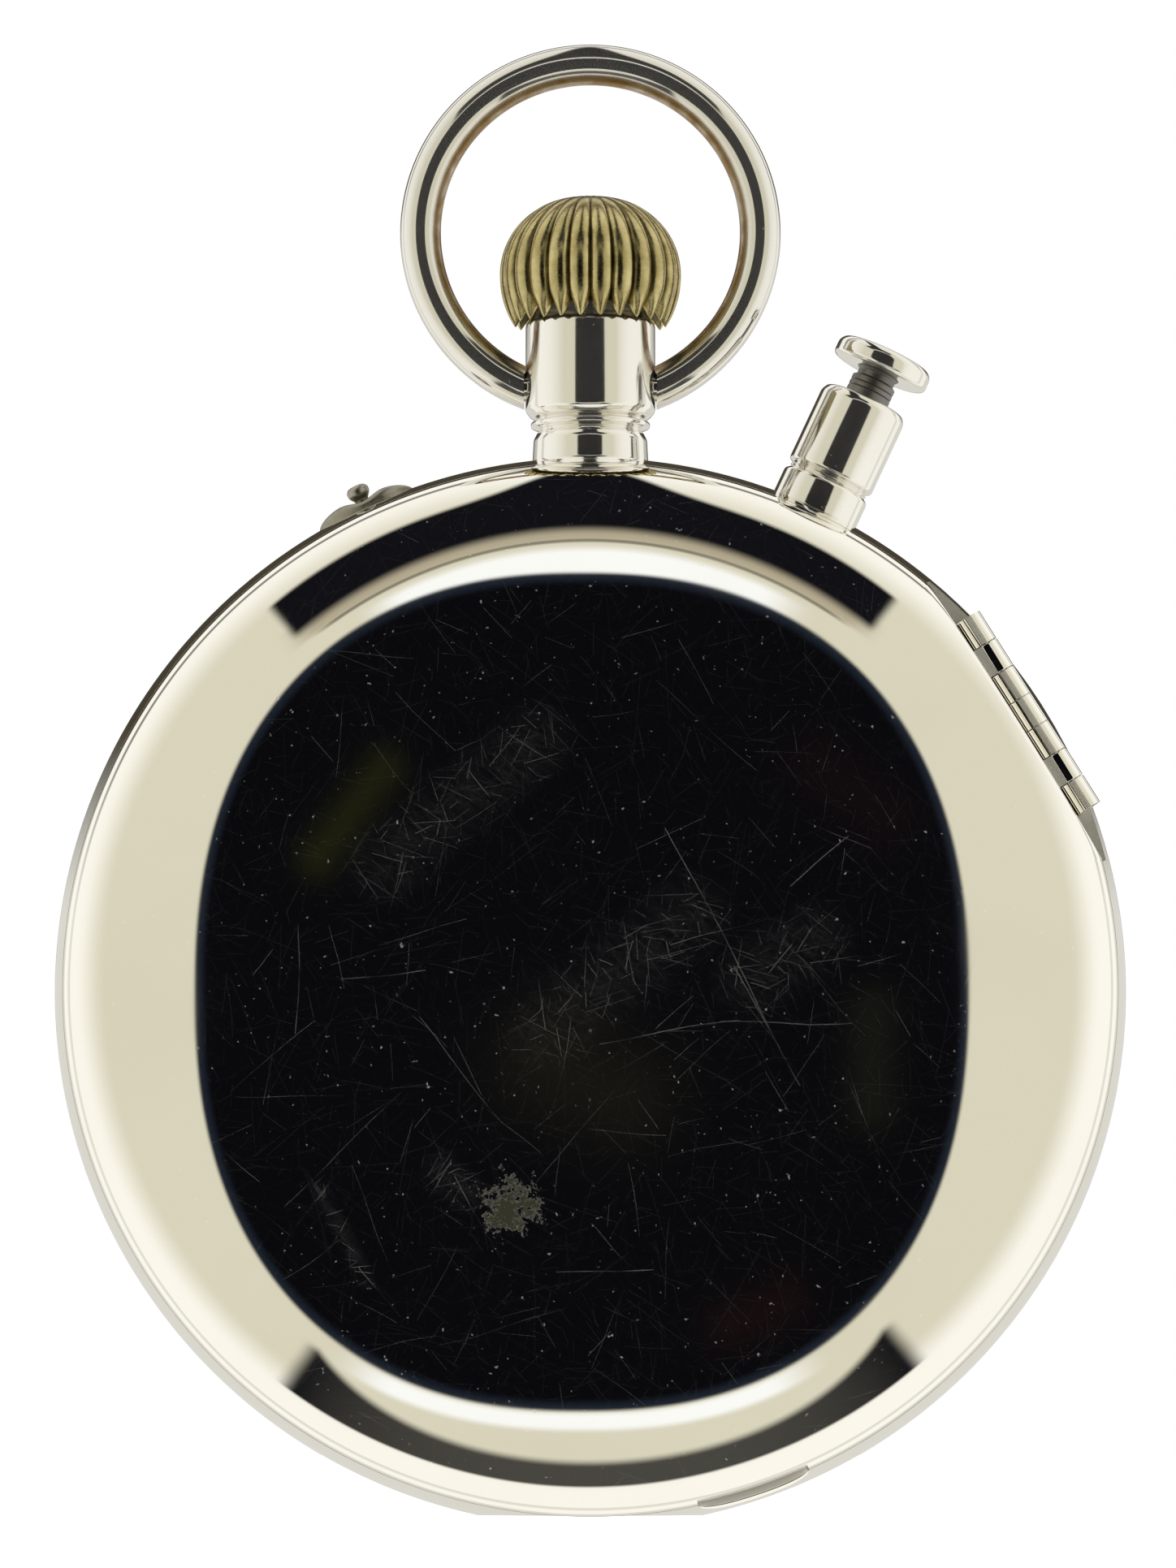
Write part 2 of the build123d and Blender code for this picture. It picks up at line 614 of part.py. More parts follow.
with BuildPart() as push_collar:
    add(turned(0, (STEM_RADIUS + RUNNING, COLLAR_FOOT), (PENDANT_BORE - 0.15, COLLAR_FOOT),
               (PENDANT_BORE - 0.15, COLLAR_TOP), (STEM_RADIUS + RUNNING, COLLAR_TOP)))
save(push_collar, "push_collar")

save(coil(0, 1.42, 0.2, SLEEVE_TOP, COLLAR_FOOT, 5), "crown_spring")


# Split-seconds push-piece and the nail-set pin, each with its spring

SPLIT_BORE_FOOT = 34.2
SPLIT_SHOULDER = 39.0
SPLIT_BARREL_TOP = 40.7
SPLIT_ROD_TIP = 27.6
SPLIT_CAP_FOOT = 42.6
SPLIT_CAP_TOP = 44.05
SPLIT_CAP_RADIUS = 3.1
SET_PIN_COLLAR = 31.6

with BuildPart() as split_pusher_barrel:
    wide_bore = SPLIT_STEM_RADIUS + RUNNING
    narrow_bore = SPLIT_ROD_RADIUS + RUNNING
    add(turned(SPLIT_ANGLE, (narrow_bore, 30.0), (SPLIT_SHANK, 30.0), (SPLIT_SHANK, SPLIT_SEAT),
               (SPLIT_BARREL_RADIUS, SPLIT_SEAT), (SPLIT_BARREL_RADIUS, 34.9), (2.35, 34.95), (2.35, 35.25),
               (SPLIT_BARREL_RADIUS, 35.3), (SPLIT_BARREL_RADIUS, SPLIT_BARREL_TOP - 0.5),
               (2.65, SPLIT_BARREL_TOP - 0.15), (2.3, SPLIT_BARREL_TOP), (wide_bore, SPLIT_BARREL_TOP),
               (wide_bore, SPLIT_BORE_FOOT), (narrow_bore, SPLIT_BORE_FOOT)))
save(split_pusher_barrel, "split_pusher_barrel")

with BuildPart() as split_pusher:
    add(turned(SPLIT_ANGLE, (0, SPLIT_ROD_TIP), (SPLIT_ROD_RADIUS, SPLIT_ROD_TIP),
               (SPLIT_ROD_RADIUS, SPLIT_SHOULDER), (SPLIT_STEM_RADIUS, SPLIT_SHOULDER),
               (SPLIT_STEM_RADIUS, 42.0), (SPLIT_STEM_RADIUS - 0.2, 42.1), (SPLIT_STEM_RADIUS - 0.2, 42.4),
               (SPLIT_STEM_RADIUS, SPLIT_CAP_FOOT), (2.9, SPLIT_CAP_FOOT), (SPLIT_CAP_RADIUS, 42.75),
               (SPLIT_CAP_RADIUS, 43.6), (2.9, 43.85), (2.0, 43.98), (0, SPLIT_CAP_TOP)))
save(split_pusher, "split_pusher")

save(coil(SPLIT_ANGLE, 1.14, 0.2, SPLIT_BORE_FOOT, SPLIT_SHOULDER, 7), "split_pusher_spring")

with BuildPart() as set_pin_guard:
    with BuildSketch(spoke_end(SET_PIN_ANGLE, GUARD_SEAT)):
        boat_outline()
    extrude(amount=1.05)
    hole = SET_PIN_RADIUS + 0.1
    add(turned(SET_PIN_ANGLE, (0, 30), (hole, 30), (hole, 33.2), (0.85, 33.3), (1.25, 36), (0, 36)),
        mode=Mode.SUBTRACT)
save(set_pin_guard, "set_pin_guard")

with BuildPart() as set_pin:
    add(turned(SET_PIN_ANGLE, (0, 28.2), (SET_PIN_RADIUS, 28.2), (SET_PIN_RADIUS, SET_PIN_COLLAR),
               (0.93, SET_PIN_COLLAR), (0.93, 32.1), (SET_PIN_RADIUS, 32.1), (SET_PIN_RADIUS, 34.0),
               (0.7, 34.25), (0.7, 34.4), (0.55, 34.5), (0, 34.5)))
save(set_pin, "set_pin")

save(coil(SET_PIN_ANGLE, 0.74, 0.12, 29.9, SET_PIN_COLLAR, 4), "set_pin_spring")


# Dial and hands; hands point at their resting time, clockwise as seen from the front

FRONT_HANDS_TIME = {"hour": 304.5, "minute": 54.0, "small_seconds": 216.0, "minute_recorder": 0.0}
HOUR_PIPE = (0.9, 1.12)
CANNON_PIPE = (0.62, 0.85)
RUNNER_PIPE = (0.2, 0.35)
CENTRE_PIPE = (0.4, 0.6)
DIAL_FOOT_RADIUS = 0.5


def pointing(spot, front_angle):
    """Location at a rear-view spot whose local y points along a clockwise angle seen from the front."""
    return Location((spot[0], spot[1], 0), (0, 0, front_angle))


def hand(spot, front_angle, front, back, bore, hub, outline):
    """A hand: hub and tapered blade, with a hole for its pipe, between two depths."""
    with BuildPart() as piece:
        with BuildSketch(rear(front)):
            with Locations(pointing(spot, front_angle)):
                Circle(hub)
                Polygon(*outline, align=None)
                Circle(bore, mode=Mode.SUBTRACT)
        extrude(amount=back - front)
    return piece


def needle(length, tail, root_width, tip_width, tail_width):
    """Corners of a straight blade with a counterweight."""
    return ((-tip_width, length), (-root_width, 0), (-tail_width, -tail),
            (tail_width, -tail), (root_width, 0), (tip_width, length))


def spade(length, width, leaf):
    """Corners of a blade that swells to a pointed leaf near its tip."""
    return ((0, length), (-leaf, 0.74 * length), (-width, 0.6 * length), (-width, 0), (width, 0),
            (width, 0.6 * length), (leaf, 0.74 * length))


with BuildPart() as dial:
    with BuildSketch(rear(DIAL_Y)):
        Circle(DIAL_RADIUS)
        Circle(HOUR_PIPE[1] + 0.08, mode=Mode.SUBTRACT)
        with Locations(FOURTH, RECORDER):
            Circle(0.3, mode=Mode.SUBTRACT)
    extrude(amount=DIAL_THICKNESS)
    with BuildSketch(rear(DIAL_Y)):
        with Locations(FOURTH, RECORDER):
            Circle(SUBDIAL_RADIUS)
    extrude(amount=SUBDIAL_RECESS, mode=Mode.SUBTRACT)
    with BuildSketch(rear(DIAL_Y + DIAL_THICKNESS)):
        with Locations(*[clock_spot(angle, DIAL_FEET_REACH) for angle in DIAL_FEET_ANGLES]):
            Circle(DIAL_FOOT_RADIUS)
    extrude(amount=3.0)
save(dial, "dial")

save(hand(CENTRE, FRONT_HANDS_TIME["hour"], HOUR_HAND_Y, HOUR_HAND_Y + 0.16, HOUR_PIPE[1] + PRESSED, 1.9,
          spade(15.5, 0.55, 1.7)), "hour_hand")
save(hand(CENTRE, FRONT_HANDS_TIME["minute"], MINUTE_HAND_Y, MINUTE_HAND_Y + 0.15, CANNON_PIPE[1] + PRESSED,
          1.5, spade(23.0, 0.45, 1.2)), "minute_hand")
save(hand(CENTRE, 0, CHRONOGRAPH_HAND_Y, CHRONOGRAPH_HAND_Y + 0.12, RUNNER_PIPE[1] + PRESSED, 1.0,
          needle(24.0, 7.0, 0.28, 0.07, 0.5)), "chronograph_seconds_hand")
save(hand(CENTRE, 0, SPLIT_HAND_Y, SPLIT_HAND_Y + 0.12, RUNNER_PIPE[0] - RUNNING + PRESSED, 0.85,
          needle(24.0, 7.0, 0.24, 0.06, 0.4)), "split_seconds_hand")
save(hand(FOURTH, FRONT_HANDS_TIME["small_seconds"], SMALL_HAND_Y, SMALL_HAND_Y + 0.12, 0.14, 0.5,
          needle(4.6, 1.5, 0.16, 0.05, 0.2)), "small_seconds_hand")
save(hand(RECORDER, FRONT_HANDS_TIME["minute_recorder"], SMALL_HAND_Y, SMALL_HAND_Y + 0.12, 0.22, 0.5,
          needle(4.6, 1.5, 0.16, 0.05, 0.2)), "minute_recorder_hand")


# Work under the dial: cannon pinion, minute wheel, hour wheel, minute-recorder wheel

RECORDER_TEETH, RECORDER_MODULE = 60, 0.1

with BuildPart() as cannon_pinion:
    add(arbor(CENTRE, (CANNON_PIPE[1], MINUTE_HAND_Y, 6.5)))
    with BuildSketch(rear(6.05)):
        toothed(CANNON_PINION, MINUTE_MODULE, facing_gap(CANNON_PINION, CENTRE, MINUTE_WORK))
    extrude(amount=0.45)
    add(arbor(CENTRE, (CANNON_PIPE[0], 3, 7)), mode=Mode.SUBTRACT)
save(cannon_pinion, "cannon_pinion")

with BuildPart() as minute_wheel:
    with BuildSketch(rear(6.15)):
        with Locations(MINUTE_WORK):
            toothed(MINUTE_TEETH, MINUTE_MODULE, bearing(MINUTE_WORK, CENTRE), 4, 1.3, 0.6)
    extrude(amount=0.25)
    with BuildSketch(rear(5.55)):
        with Locations(MINUTE_WORK):
            toothed(MINUTE_PINION, HOUR_MODULE, facing_gap(MINUTE_PINION, MINUTE_WORK, CENTRE))
    extrude(amount=0.6)
    add(arbor(MINUTE_WORK, (0.4, 5, 7)), mode=Mode.SUBTRACT)
save(minute_wheel, "minute_wheel")

with BuildPart() as hour_wheel:
    with BuildSketch(rear(5.6)):
        toothed(HOUR_TEETH, HOUR_MODULE, bearing(CENTRE, MINUTE_WORK), 4, 1.8, 0.6)
    extrude(amount=0.25)
    add(arbor(CENTRE, (HOUR_PIPE[1], HOUR_HAND_Y, 5.6)))
    add(arbor(CENTRE, (HOUR_PIPE[0], 3, 7)), mode=Mode.SUBTRACT)
save(hour_wheel, "hour_wheel")

with BuildPart() as minute_recorder_wheel:
    add(arbor(RECORDER, (0.2, SMALL_HAND_Y, 7.7)))
    with BuildSketch(rear(5.9)):
        with Locations(RECORDER):
            toothed(RECORDER_TEETH, RECORDER_MODULE, 0, 4, 0.7, 0.5)
    extrude(amount=0.25)
save(minute_recorder_wheel, "minute_recorder_wheel")


# Main plate

JEWEL_RADIUS = 0.6
JEWEL_BORE = 0.17
SCREW_RADIUS = 0.5
STUD_RADIUS = 0.6
PLATE_JEWELS = (THIRD, FOURTH, ESCAPE, PALLET, BALANCE)
PINION_SPACE = 2.95
PINION_FOOT = 24.6
PINION_TOP = 25.75
PLATE_SCREW_SPOTS = (*BARREL_BRIDGE_FEET, *TRAIN_BRIDGE_FEET, COCK_FOOT, PALLET_COCK_FOOT)
CASE_SCREW_SPOTS = [clock_spot(angle, CASE_SCREW_REACH) for angle in CASE_SCREW_ANGLES]
OUTER_STEM_BLOCK = (26.2, 26.9)
INNER_STEM_BLOCK = (22.9, 23.5)

with BuildPart() as main_plate:
    with BuildSketch(rear(PLATE_Y)):
        Circle(MOVEMENT_RADIUS)
        Circle(CENTRE_PIPE[1] + RUNNING, mode=Mode.SUBTRACT)
        with Locations(BARREL):
            Circle(1.15, mode=Mode.SUBTRACT)
        with Locations(*PLATE_JEWELS):
            Circle(JEWEL_RADIUS + PRESSED, mode=Mode.SUBTRACT)
    extrude(amount=PLATE_BACK - PLATE_Y)
    with BuildSketch(rear(PLATE_BACK - 1.4)):
        with Locations(*PLATE_SCREW_SPOTS, *CASE_SCREW_SPOTS):
            Circle(SCREW_RADIUS + PRESSED)
        with Locations(COLUMN_WHEEL):
            Circle(0.45)
    extrude(amount=2, mode=Mode.SUBTRACT)
    with BuildSketch(rear(PLATE_Y)):
        with Locations(*[clock_spot(angle, DIAL_FEET_REACH) for angle in DIAL_FEET_ANGLES]):
            Circle(DIAL_FOOT_RADIUS + PRESSED)
    extrude(amount=1.8, mode=Mode.SUBTRACT)
    with BuildSketch(rear(PLATE_Y)):
        with Locations(RECORDER):
            Circle(0.2 + RUNNING)
    extrude(amount=1.2, mode=Mode.SUBTRACT)
    slab(0, (-PINION_SPACE, PINION_SPACE), (PINION_FOOT - 0.2, PINION_TOP + 0.2), (7.5, 9), Mode.SUBTRACT)
    add(arbor(MINUTE_WORK, (0.35, 5.6, PLATE_Y)))
    add(arbor(CHRONOGRAPH_LEVER, (STUD_RADIUS, PLATE_BACK, 11.2)))
    add(arbor(SPLIT_LEVER, (STUD_RADIUS, PLATE_BACK, 11.2)))
    slab(0, (-1.9, 1.9), OUTER_STEM_BLOCK, (PLATE_BACK, 12.0))
    slab(0, (-1.5, 1.5), INNER_STEM_BLOCK, (PLATE_BACK, 11.6))
    with BuildSketch(spoke_end(0, OUTER_STEM_BLOCK[0] - 0.1)):
        Circle(STEM_RADIUS + RUNNING)
    extrude(amount=1, mode=Mode.SUBTRACT)
    with BuildSketch(spoke_end(0, INNER_STEM_BLOCK[0] - 0.1)):
        Circle(0.5 + RUNNING)
    extrude(amount=0.8, mode=Mode.SUBTRACT)
save(main_plate, "main_plate")


# Bridges and cocks

BRIDGE_RADIUS = 25.6
FOOT_RADIUS = 1.5
SCREW_HEAD_RADIUS = 1.0
SCREW_HEAD = 0.5
GROOVE = (5.45, 6.95)
GROOVE_FLOOR = 12.72
# Line where the barrel bridge meets the train bridge, closed around the barrel's side
JOIN = ((11.4, 30), (11.4, 23.0), (5.6, 11.0), (-1.9, 3.6), (-4.5, -3.0), (-25.5, -9.5), (-30, -9.5),
        (-30, 30))
BRIDGE_GAP = 0.4
BALANCE_BAY = 7.7
BAY_CORNERS = ((13.6, -2.5), (19.0, 2.6), (27, 2.6), (27, -27), (16, -27), (13.6, -17.9))
COCK_Y = 12.8
COCK_BACK = 14.0
PALLET_COCK_Y = 9.95
PALLET_COCK_BACK = 10.6
CHRONOGRAPH_COCK_Y = 15.75
CHRONOGRAPH_COCK_BACK = 16.35


def screw_holes(spots, front, back):
    """Cuts the clearance hole and the counterbore of a screw at each spot."""
    with BuildSketch(rear(front)) as shanks:
        with Locations(*spots):
            Circle(SCREW_RADIUS + PRESSED)
    extrude(shanks.sketch, amount=back - front, mode=Mode.SUBTRACT)
    with BuildSketch(rear(back - SCREW_HEAD)) as heads:
        with Locations(*spots):
            Circle(SCREW_HEAD_RADIUS + PRESSED)
    extrude(heads.sketch, amount=SCREW_HEAD, mode=Mode.SUBTRACT)


with BuildPart() as barrel_bridge:
    with BuildSketch(rear(BRIDGE_Y)):
        Circle(BRIDGE_RADIUS)
        Polygon(*JOIN, align=None, mode=Mode.INTERSECT)
        with Locations(BARREL):
            Circle(1.15, mode=Mode.SUBTRACT)
    extrude(amount=BRIDGE_BACK - BRIDGE_Y)
    with BuildSketch(rear(PLATE_BACK)):
        with Locations(*BARREL_BRIDGE_FEET):
            Circle(FOOT_RADIUS)
    extrude(amount=BRIDGE_Y - PLATE_BACK)
    with BuildSketch(rear(GROOVE_FLOOR)):
        with Locations(CROWN_WHEEL):
            Circle(GROOVE[1])
            Circle(GROOVE[0], mode=Mode.SUBTRACT)
    extrude(amount=3, mode=Mode.SUBTRACT)
    slab(0, (-PINION_SPACE, PINION_SPACE), (PINION_FOOT - 0.3, 27), (12, 14), Mode.SUBTRACT)
    screw_holes(BARREL_BRIDGE_FEET, PLATE_BACK, BRIDGE_BACK)
    add(arbor(CROWN_WHEEL, (1.0, BRIDGE_BACK, 14.55)))
    add(arbor(CLICK, (0.5, BRIDGE_BACK, 14.45)))
    with BuildSketch(rear(13.0)):
        with Locations(CROWN_WHEEL, CLICK):
            Circle(0.32)
    extrude(amount=2, mode=Mode.SUBTRACT)
save(barrel_bridge, "barrel_bridge")

with BuildPart() as train_bridge:
    with BuildSketch(rear(BRIDGE_Y)) as train_plan:
        Circle(BRIDGE_RADIUS)
        with BuildSketch(mode=Mode.PRIVATE) as barrel_side:
            Polygon(*JOIN, align=None)
            offset(amount=BRIDGE_GAP, kind=Kind.INTERSECTION)
        add(barrel_side.sketch, mode=Mode.SUBTRACT)
        with Locations(BALANCE):
            Circle(BALANCE_BAY, mode=Mode.SUBTRACT)
        Polygon(*BAY_CORNERS, align=None, mode=Mode.SUBTRACT)
        Circle(CENTRE_PIPE[1] + RUNNING, mode=Mode.SUBTRACT)
        with Locations(THIRD, FOURTH, ESCAPE):
            Circle(JEWEL_RADIUS + PRESSED, mode=Mode.SUBTRACT)
        with Locations(COLUMN_WHEEL):
            Circle(2.6, mode=Mode.SUBTRACT)
    extrude(amount=BRIDGE_BACK - BRIDGE_Y)
    with BuildSketch(rear(PLATE_BACK)):
        with Locations(*TRAIN_BRIDGE_FEET):
            Circle(FOOT_RADIUS)
    extrude(amount=BRIDGE_Y - PLATE_BACK)
    screw_holes(TRAIN_BRIDGE_FEET, PLATE_BACK, BRIDGE_BACK)
    with BuildSketch(rear(BRIDGE_Y + 0.3)):
        with Locations(CHRONOGRAPH_COCK_FOOT):
            Circle(SCREW_RADIUS + PRESSED)
    extrude(amount=2, mode=Mode.SUBTRACT)
save(train_bridge, "train_bridge")

with BuildPart() as balance_cock:
    with BuildSketch(rear(COCK_Y)):
        link(COCK_FOOT, BALANCE, 2.8, 1.9)
        with Locations(BALANCE):
            Circle(JEWEL_RADIUS + PRESSED, mode=Mode.SUBTRACT)
    extrude(amount=COCK_BACK - COCK_Y)
    with BuildSketch(rear(COCK_BACK)):
        with Locations(BALANCE):
            Circle(0.95)
            Circle(JEWEL_RADIUS + PRESSED, mode=Mode.SUBTRACT)
    extrude(amount=0.35)
    add(arbor(COCK_FOOT, (2.8, PLATE_BACK, COCK_Y)))
    screw_holes([COCK_FOOT], PLATE_BACK, COCK_BACK)
save(balance_cock, "balance_cock")

with BuildPart() as pallet_cock:
    with BuildSketch(rear(PALLET_COCK_Y)):
        link(PALLET, PALLET_COCK_FOOT, 1.0, 1.5)
        with Locations(PALLET):
            Circle(JEWEL_RADIUS + PRESSED, mode=Mode.SUBTRACT)
    extrude(amount=PALLET_COCK_BACK - PALLET_COCK_Y)
    add(arbor(PALLET_COCK_FOOT, (1.5, PLATE_BACK, PALLET_COCK_Y)))
    screw_holes([PALLET_COCK_FOOT], PLATE_BACK, PALLET_COCK_BACK)
save(pallet_cock, "pallet_cock")

with BuildPart() as chronograph_cock:
    with BuildSketch(rear(CHRONOGRAPH_COCK_Y)):
        link(CHRONOGRAPH_COCK_FOOT, CENTRE, 1.6, 1.3)
        Circle(JEWEL_RADIUS + PRESSED, mode=Mode.SUBTRACT)
    extrude(amount=CHRONOGRAPH_COCK_BACK - CHRONOGRAPH_COCK_Y)
    add(arbor(CHRONOGRAPH_COCK_FOOT, (1.6, BRIDGE_BACK, CHRONOGRAPH_COCK_Y)))
    screw_holes([CHRONOGRAPH_COCK_FOOT], BRIDGE_BACK, CHRONOGRAPH_COCK_BACK)
save(chronograph_cock, "chronograph_cock")

with BuildPart() as regulator:
    with BuildSketch(rear(COCK_BACK + 0.05)):
        with BuildSketch(mode=Mode.PRIVATE) as pointer:
            Circle(1.7)
            with Locations((0, 6.5)):
                Circle(0.12)
            make_hull()
        with Locations(pointing(BALANCE, 25)):
            add(pointer.sketch)
        with Locations(BALANCE):
            Circle(0.95 + RUNNING, mode=Mode.SUBTRACT)
    extrude(amount=0.25)
save(regulator, "regulator")


# Jewels and screws, each kind a group of equal pieces

SCREW_TIP = 7.6
SLOT_DEPTH = 0.22
SLOT_WIDTH = 0.24
BRIDGE_JEWELS = ((THIRD, 13.25), (FOURTH, 13.25), (ESCAPE, 13.25), (BALANCE, 13.75), (PALLET, 10.1),
                 (CENTRE, 15.85))

with BuildPart() as jewels:
    for spot in PLATE_JEWELS:
        add(arbor(spot, (JEWEL_RADIUS, 8.3, 8.7)))
    for spot, depth in BRIDGE_JEWELS:
        add(arbor(spot, (JEWEL_RADIUS, depth, depth + 0.4)))
    for spot in (*PLATE_JEWELS, CENTRE):
        add(arbor(spot, (JEWEL_BORE, 8, 17)), mode=Mode.SUBTRACT)
save(jewels, "jewels")


def screw(spot, slot_angle, tip, head_front, head_radius=SCREW_HEAD_RADIUS, head_height=SCREW_HEAD,
          shank_radius=SCREW_RADIUS):
    """One slotted screw at a rear-view spot, driven in from the back."""
    with BuildPart() as piece:
        top = head_front + head_height
        add(arbor(spot, (shank_radius, tip, head_front), (head_radius, head_front, top)))
        with BuildSketch(rear(top - SLOT_DEPTH)):
            with Locations(pointing(spot, slot_angle)):
                Rectangle(3 * head_radius, SLOT_WIDTH)
        extrude(amount=1, mode=Mode.SUBTRACT)
    return piece.part


with BuildPart() as movement_screws:
    turn = 20
    for spot in (*BARREL_BRIDGE_FEET, *TRAIN_BRIDGE_FEET):
        add(screw(spot, turn, SCREW_TIP, BRIDGE_BACK - SCREW_HEAD))
        turn += 37
    add(screw(COCK_FOOT, 80, SCREW_TIP, COCK_BACK - SCREW_HEAD))
    add(screw(PALLET_COCK_FOOT, 140, SCREW_TIP, PALLET_COCK_BACK - SCREW_HEAD))
    add(screw(CHRONOGRAPH_COCK_FOOT, 10, 12.7, CHRONOGRAPH_COCK_BACK - SCREW_HEAD))
    add(screw(CROWN_WHEEL, 65, 13.1, 14.57, 1.7, 0.45, 0.3))
    add(screw(CLICK, 115, 13.1, 14.47, 0.95, 0.4, 0.3))
    for spot in CASE_SCREW_SPOTS:
        add(screw(spot, spot[0] * 7, SCREW_TIP, PLATE_BACK + PRESSED, 1.8, 0.55))
save(movement_screws, "movement_screws")


# Barrel with its cover, arbor and mainspring

DRUM_RADIUS = 10.45
DRUM_WALL = 0.45
DRUM_Y = 9.6
DRUM_BACK = 12.1
ARBOR_RADIUS = 1.1
RATCHET_Y = 13.9
RATCHET_BACK = 14.5

with BuildPart() as barrel:
    add(arbor(BARREL, (DRUM_RADIUS, DRUM_Y, DRUM_BACK)))
    with BuildSketch(rear(DRUM_Y + 0.1)):
        with Locations(BARREL):
            toothed(BARREL_TEETH, FIRST_MODULE, bearing(BARREL, CENTRE))
    extrude(amount=0.6)
    add(arbor(BARREL, (DRUM_RADIUS - DRUM_WALL, DRUM_Y + 0.4, 14)), mode=Mode.SUBTRACT)
    add(arbor(BARREL, (ARBOR_RADIUS + RUNNING, 9, 14)), mode=Mode.SUBTRACT)
save(barrel, "barrel")

with BuildPart() as barrel_cover:
    add(arbor(BARREL, (DRUM_RADIUS - DRUM_WALL - PRESSED, DRUM_BACK - 0.35, DRUM_BACK)))
    add(arbor(BARREL, (ARBOR_RADIUS + RUNNING, 9, 14)), mode=Mode.SUBTRACT)
save(barrel_cover, "barrel_cover")

with BuildPart() as mainspring:
    with BuildSketch(rear(10.15)):
        with Locations(BARREL):
            spiral(2.6, 9.7, 9, 0.2)
    extrude(amount=1.4)
save(mainspring, "mainspring")

with BuildPart() as barrel_arbor:
    add(arbor(BARREL, (ARBOR_RADIUS, 7.0, RATCHET_BACK), (2.3, 10.05, 11.7)))
    with BuildSketch(rear(13.5)):
        with Locations(BARREL):
            Circle(0.42)
    extrude(amount=2, mode=Mode.SUBTRACT)
    add(screw(BARREL, 30, 13.6, RATCHET_BACK + PRESSED, 2.0, 0.5, 0.4))
save(barrel_arbor, "barrel_arbor")


# Winding: pinion on the stem's square, crown wheel, ratchet wheel with its screw, click

CONTRATE = (5.6, 6.75)
CONTRATE_TIP = 12.85

with BuildPart() as winding_pinion:
    with BuildSketch(Plane.XY.offset(PINION_FOOT)):
        with Locations((0, MID_Y)):
            toothed(WINDING_PINION, WINDING_MODULE, 0)
            Rectangle(STEM_SQUARE + 2 * RUNNING, STEM_SQUARE + 2 * RUNNING, mode=Mode.SUBTRACT)
    extrude(amount=PINION_TOP - PINION_FOOT)
save(winding_pinion, "winding_pinion")

with BuildPart() as crown_wheel:
    with BuildSketch(rear(RATCHET_Y)):
        with Locations(CROWN_WHEEL):
            toothed(CROWN_WHEEL_TEETH, KEYLESS_MODULE, facing_gap(CROWN_WHEEL_TEETH, CROWN_WHEEL, BARREL))
            Circle(1.0 + RUNNING, mode=Mode.SUBTRACT)
    extrude(amount=RATCHET_BACK - RATCHET_Y)
    with BuildSketch(rear(13.5)):
        with Locations(CROWN_WHEEL):
            Circle(CONTRATE[1])
            Circle(CONTRATE[0], mode=Mode.SUBTRACT)
    extrude(amount=RATCHET_Y - 13.5)
    with BuildSketch(rear(CONTRATE_TIP)):
        with Locations(CROWN_WHEEL):
            with PolarLocations((CONTRATE[0] + CONTRATE[1]) / 2, CONTRATE_TEETH, start_angle=95):
                Rectangle(CONTRATE[1] - CONTRATE[0], 0.36)
    extrude(amount=13.5 - CONTRATE_TIP)
save(crown_wheel, "crown_wheel")

with BuildPart() as ratchet_wheel:
    with BuildSketch(rear(RATCHET_Y)):
        with Locations(BARREL):
            toothed(RATCHET_TEETH, KEYLESS_MODULE, bearing(BARREL, CROWN_WHEEL))
            Circle(ARBOR_RADIUS + PRESSED, mode=Mode.SUBTRACT)
    extrude(amount=RATCHET_BACK - RATCHET_Y)
save(ratchet_wheel, "ratchet_wheel")

with BuildPart() as click:
    with BuildSketch(rear(13.95)):
        link(CLICK, (-20.9, 4.9), 1.1, 0.35)
        with Locations(CLICK):
            Circle(0.5 + RUNNING, mode=Mode.SUBTRACT)
    extrude(amount=0.45)
save(click, "click")


# Going train


def train_piece(spot, steps, wheel, pinion):
    """A wheel and its pinion on one arbor; each is (teeth, module, tooth angle, front, back[, spokes])."""
    with BuildPart() as piece:
        add(arbor(spot, *steps))
        with BuildSketch(rear(wheel[3])):
            with Locations(spot):
                toothed(wheel[0], wheel[1], wheel[2], 5, 1.3, 0.7)
        extrude(amount=wheel[4] - wheel[3])
        with BuildSketch(rear(pinion[3])):
            with Locations(spot):
                toothed(*pinion[:3])
        extrude(amount=pinion[4] - pinion[3])
    return piece


PIVOT = 0.12
STAFF = 0.35
STAFF_FRONT = 8.95
STAFF_BACK = 12.2
PIVOT_FRONT = 8.35
PIVOT_BACK = 13.6

centre_wheel = train_piece(
    CENTRE,
    ((CENTRE_PIPE[1], 5.0, 13.7), (1.0, 8.95, 9.6)),
    (CENTRE_TEETH, SECOND_MODULE, bearing(CENTRE, THIRD), 9.0, 9.35),
    (CENTRE_PINION, FIRST_MODULE, facing_gap(CENTRE_PINION, CENTRE, BARREL), 9.5, 10.5),
)
with centre_wheel:
    add(arbor(CENTRE, (CENTRE_PIPE[0], 4, 15)), mode=Mode.SUBTRACT)
save(centre_wheel, "centre_wheel")

third_wheel = train_piece(
    THIRD,
    ((PIVOT, PIVOT_FRONT, PIVOT_BACK), (STAFF, STAFF_FRONT, STAFF_BACK)),
    (THIRD_TEETH, THIRD_MODULE, bearing(THIRD, FOURTH), 10.8, 11.1),
    (THIRD_PINION, SECOND_MODULE, facing_gap(THIRD_PINION, THIRD, CENTRE), 8.9, 9.5),
)
save(third_wheel, "third_wheel")

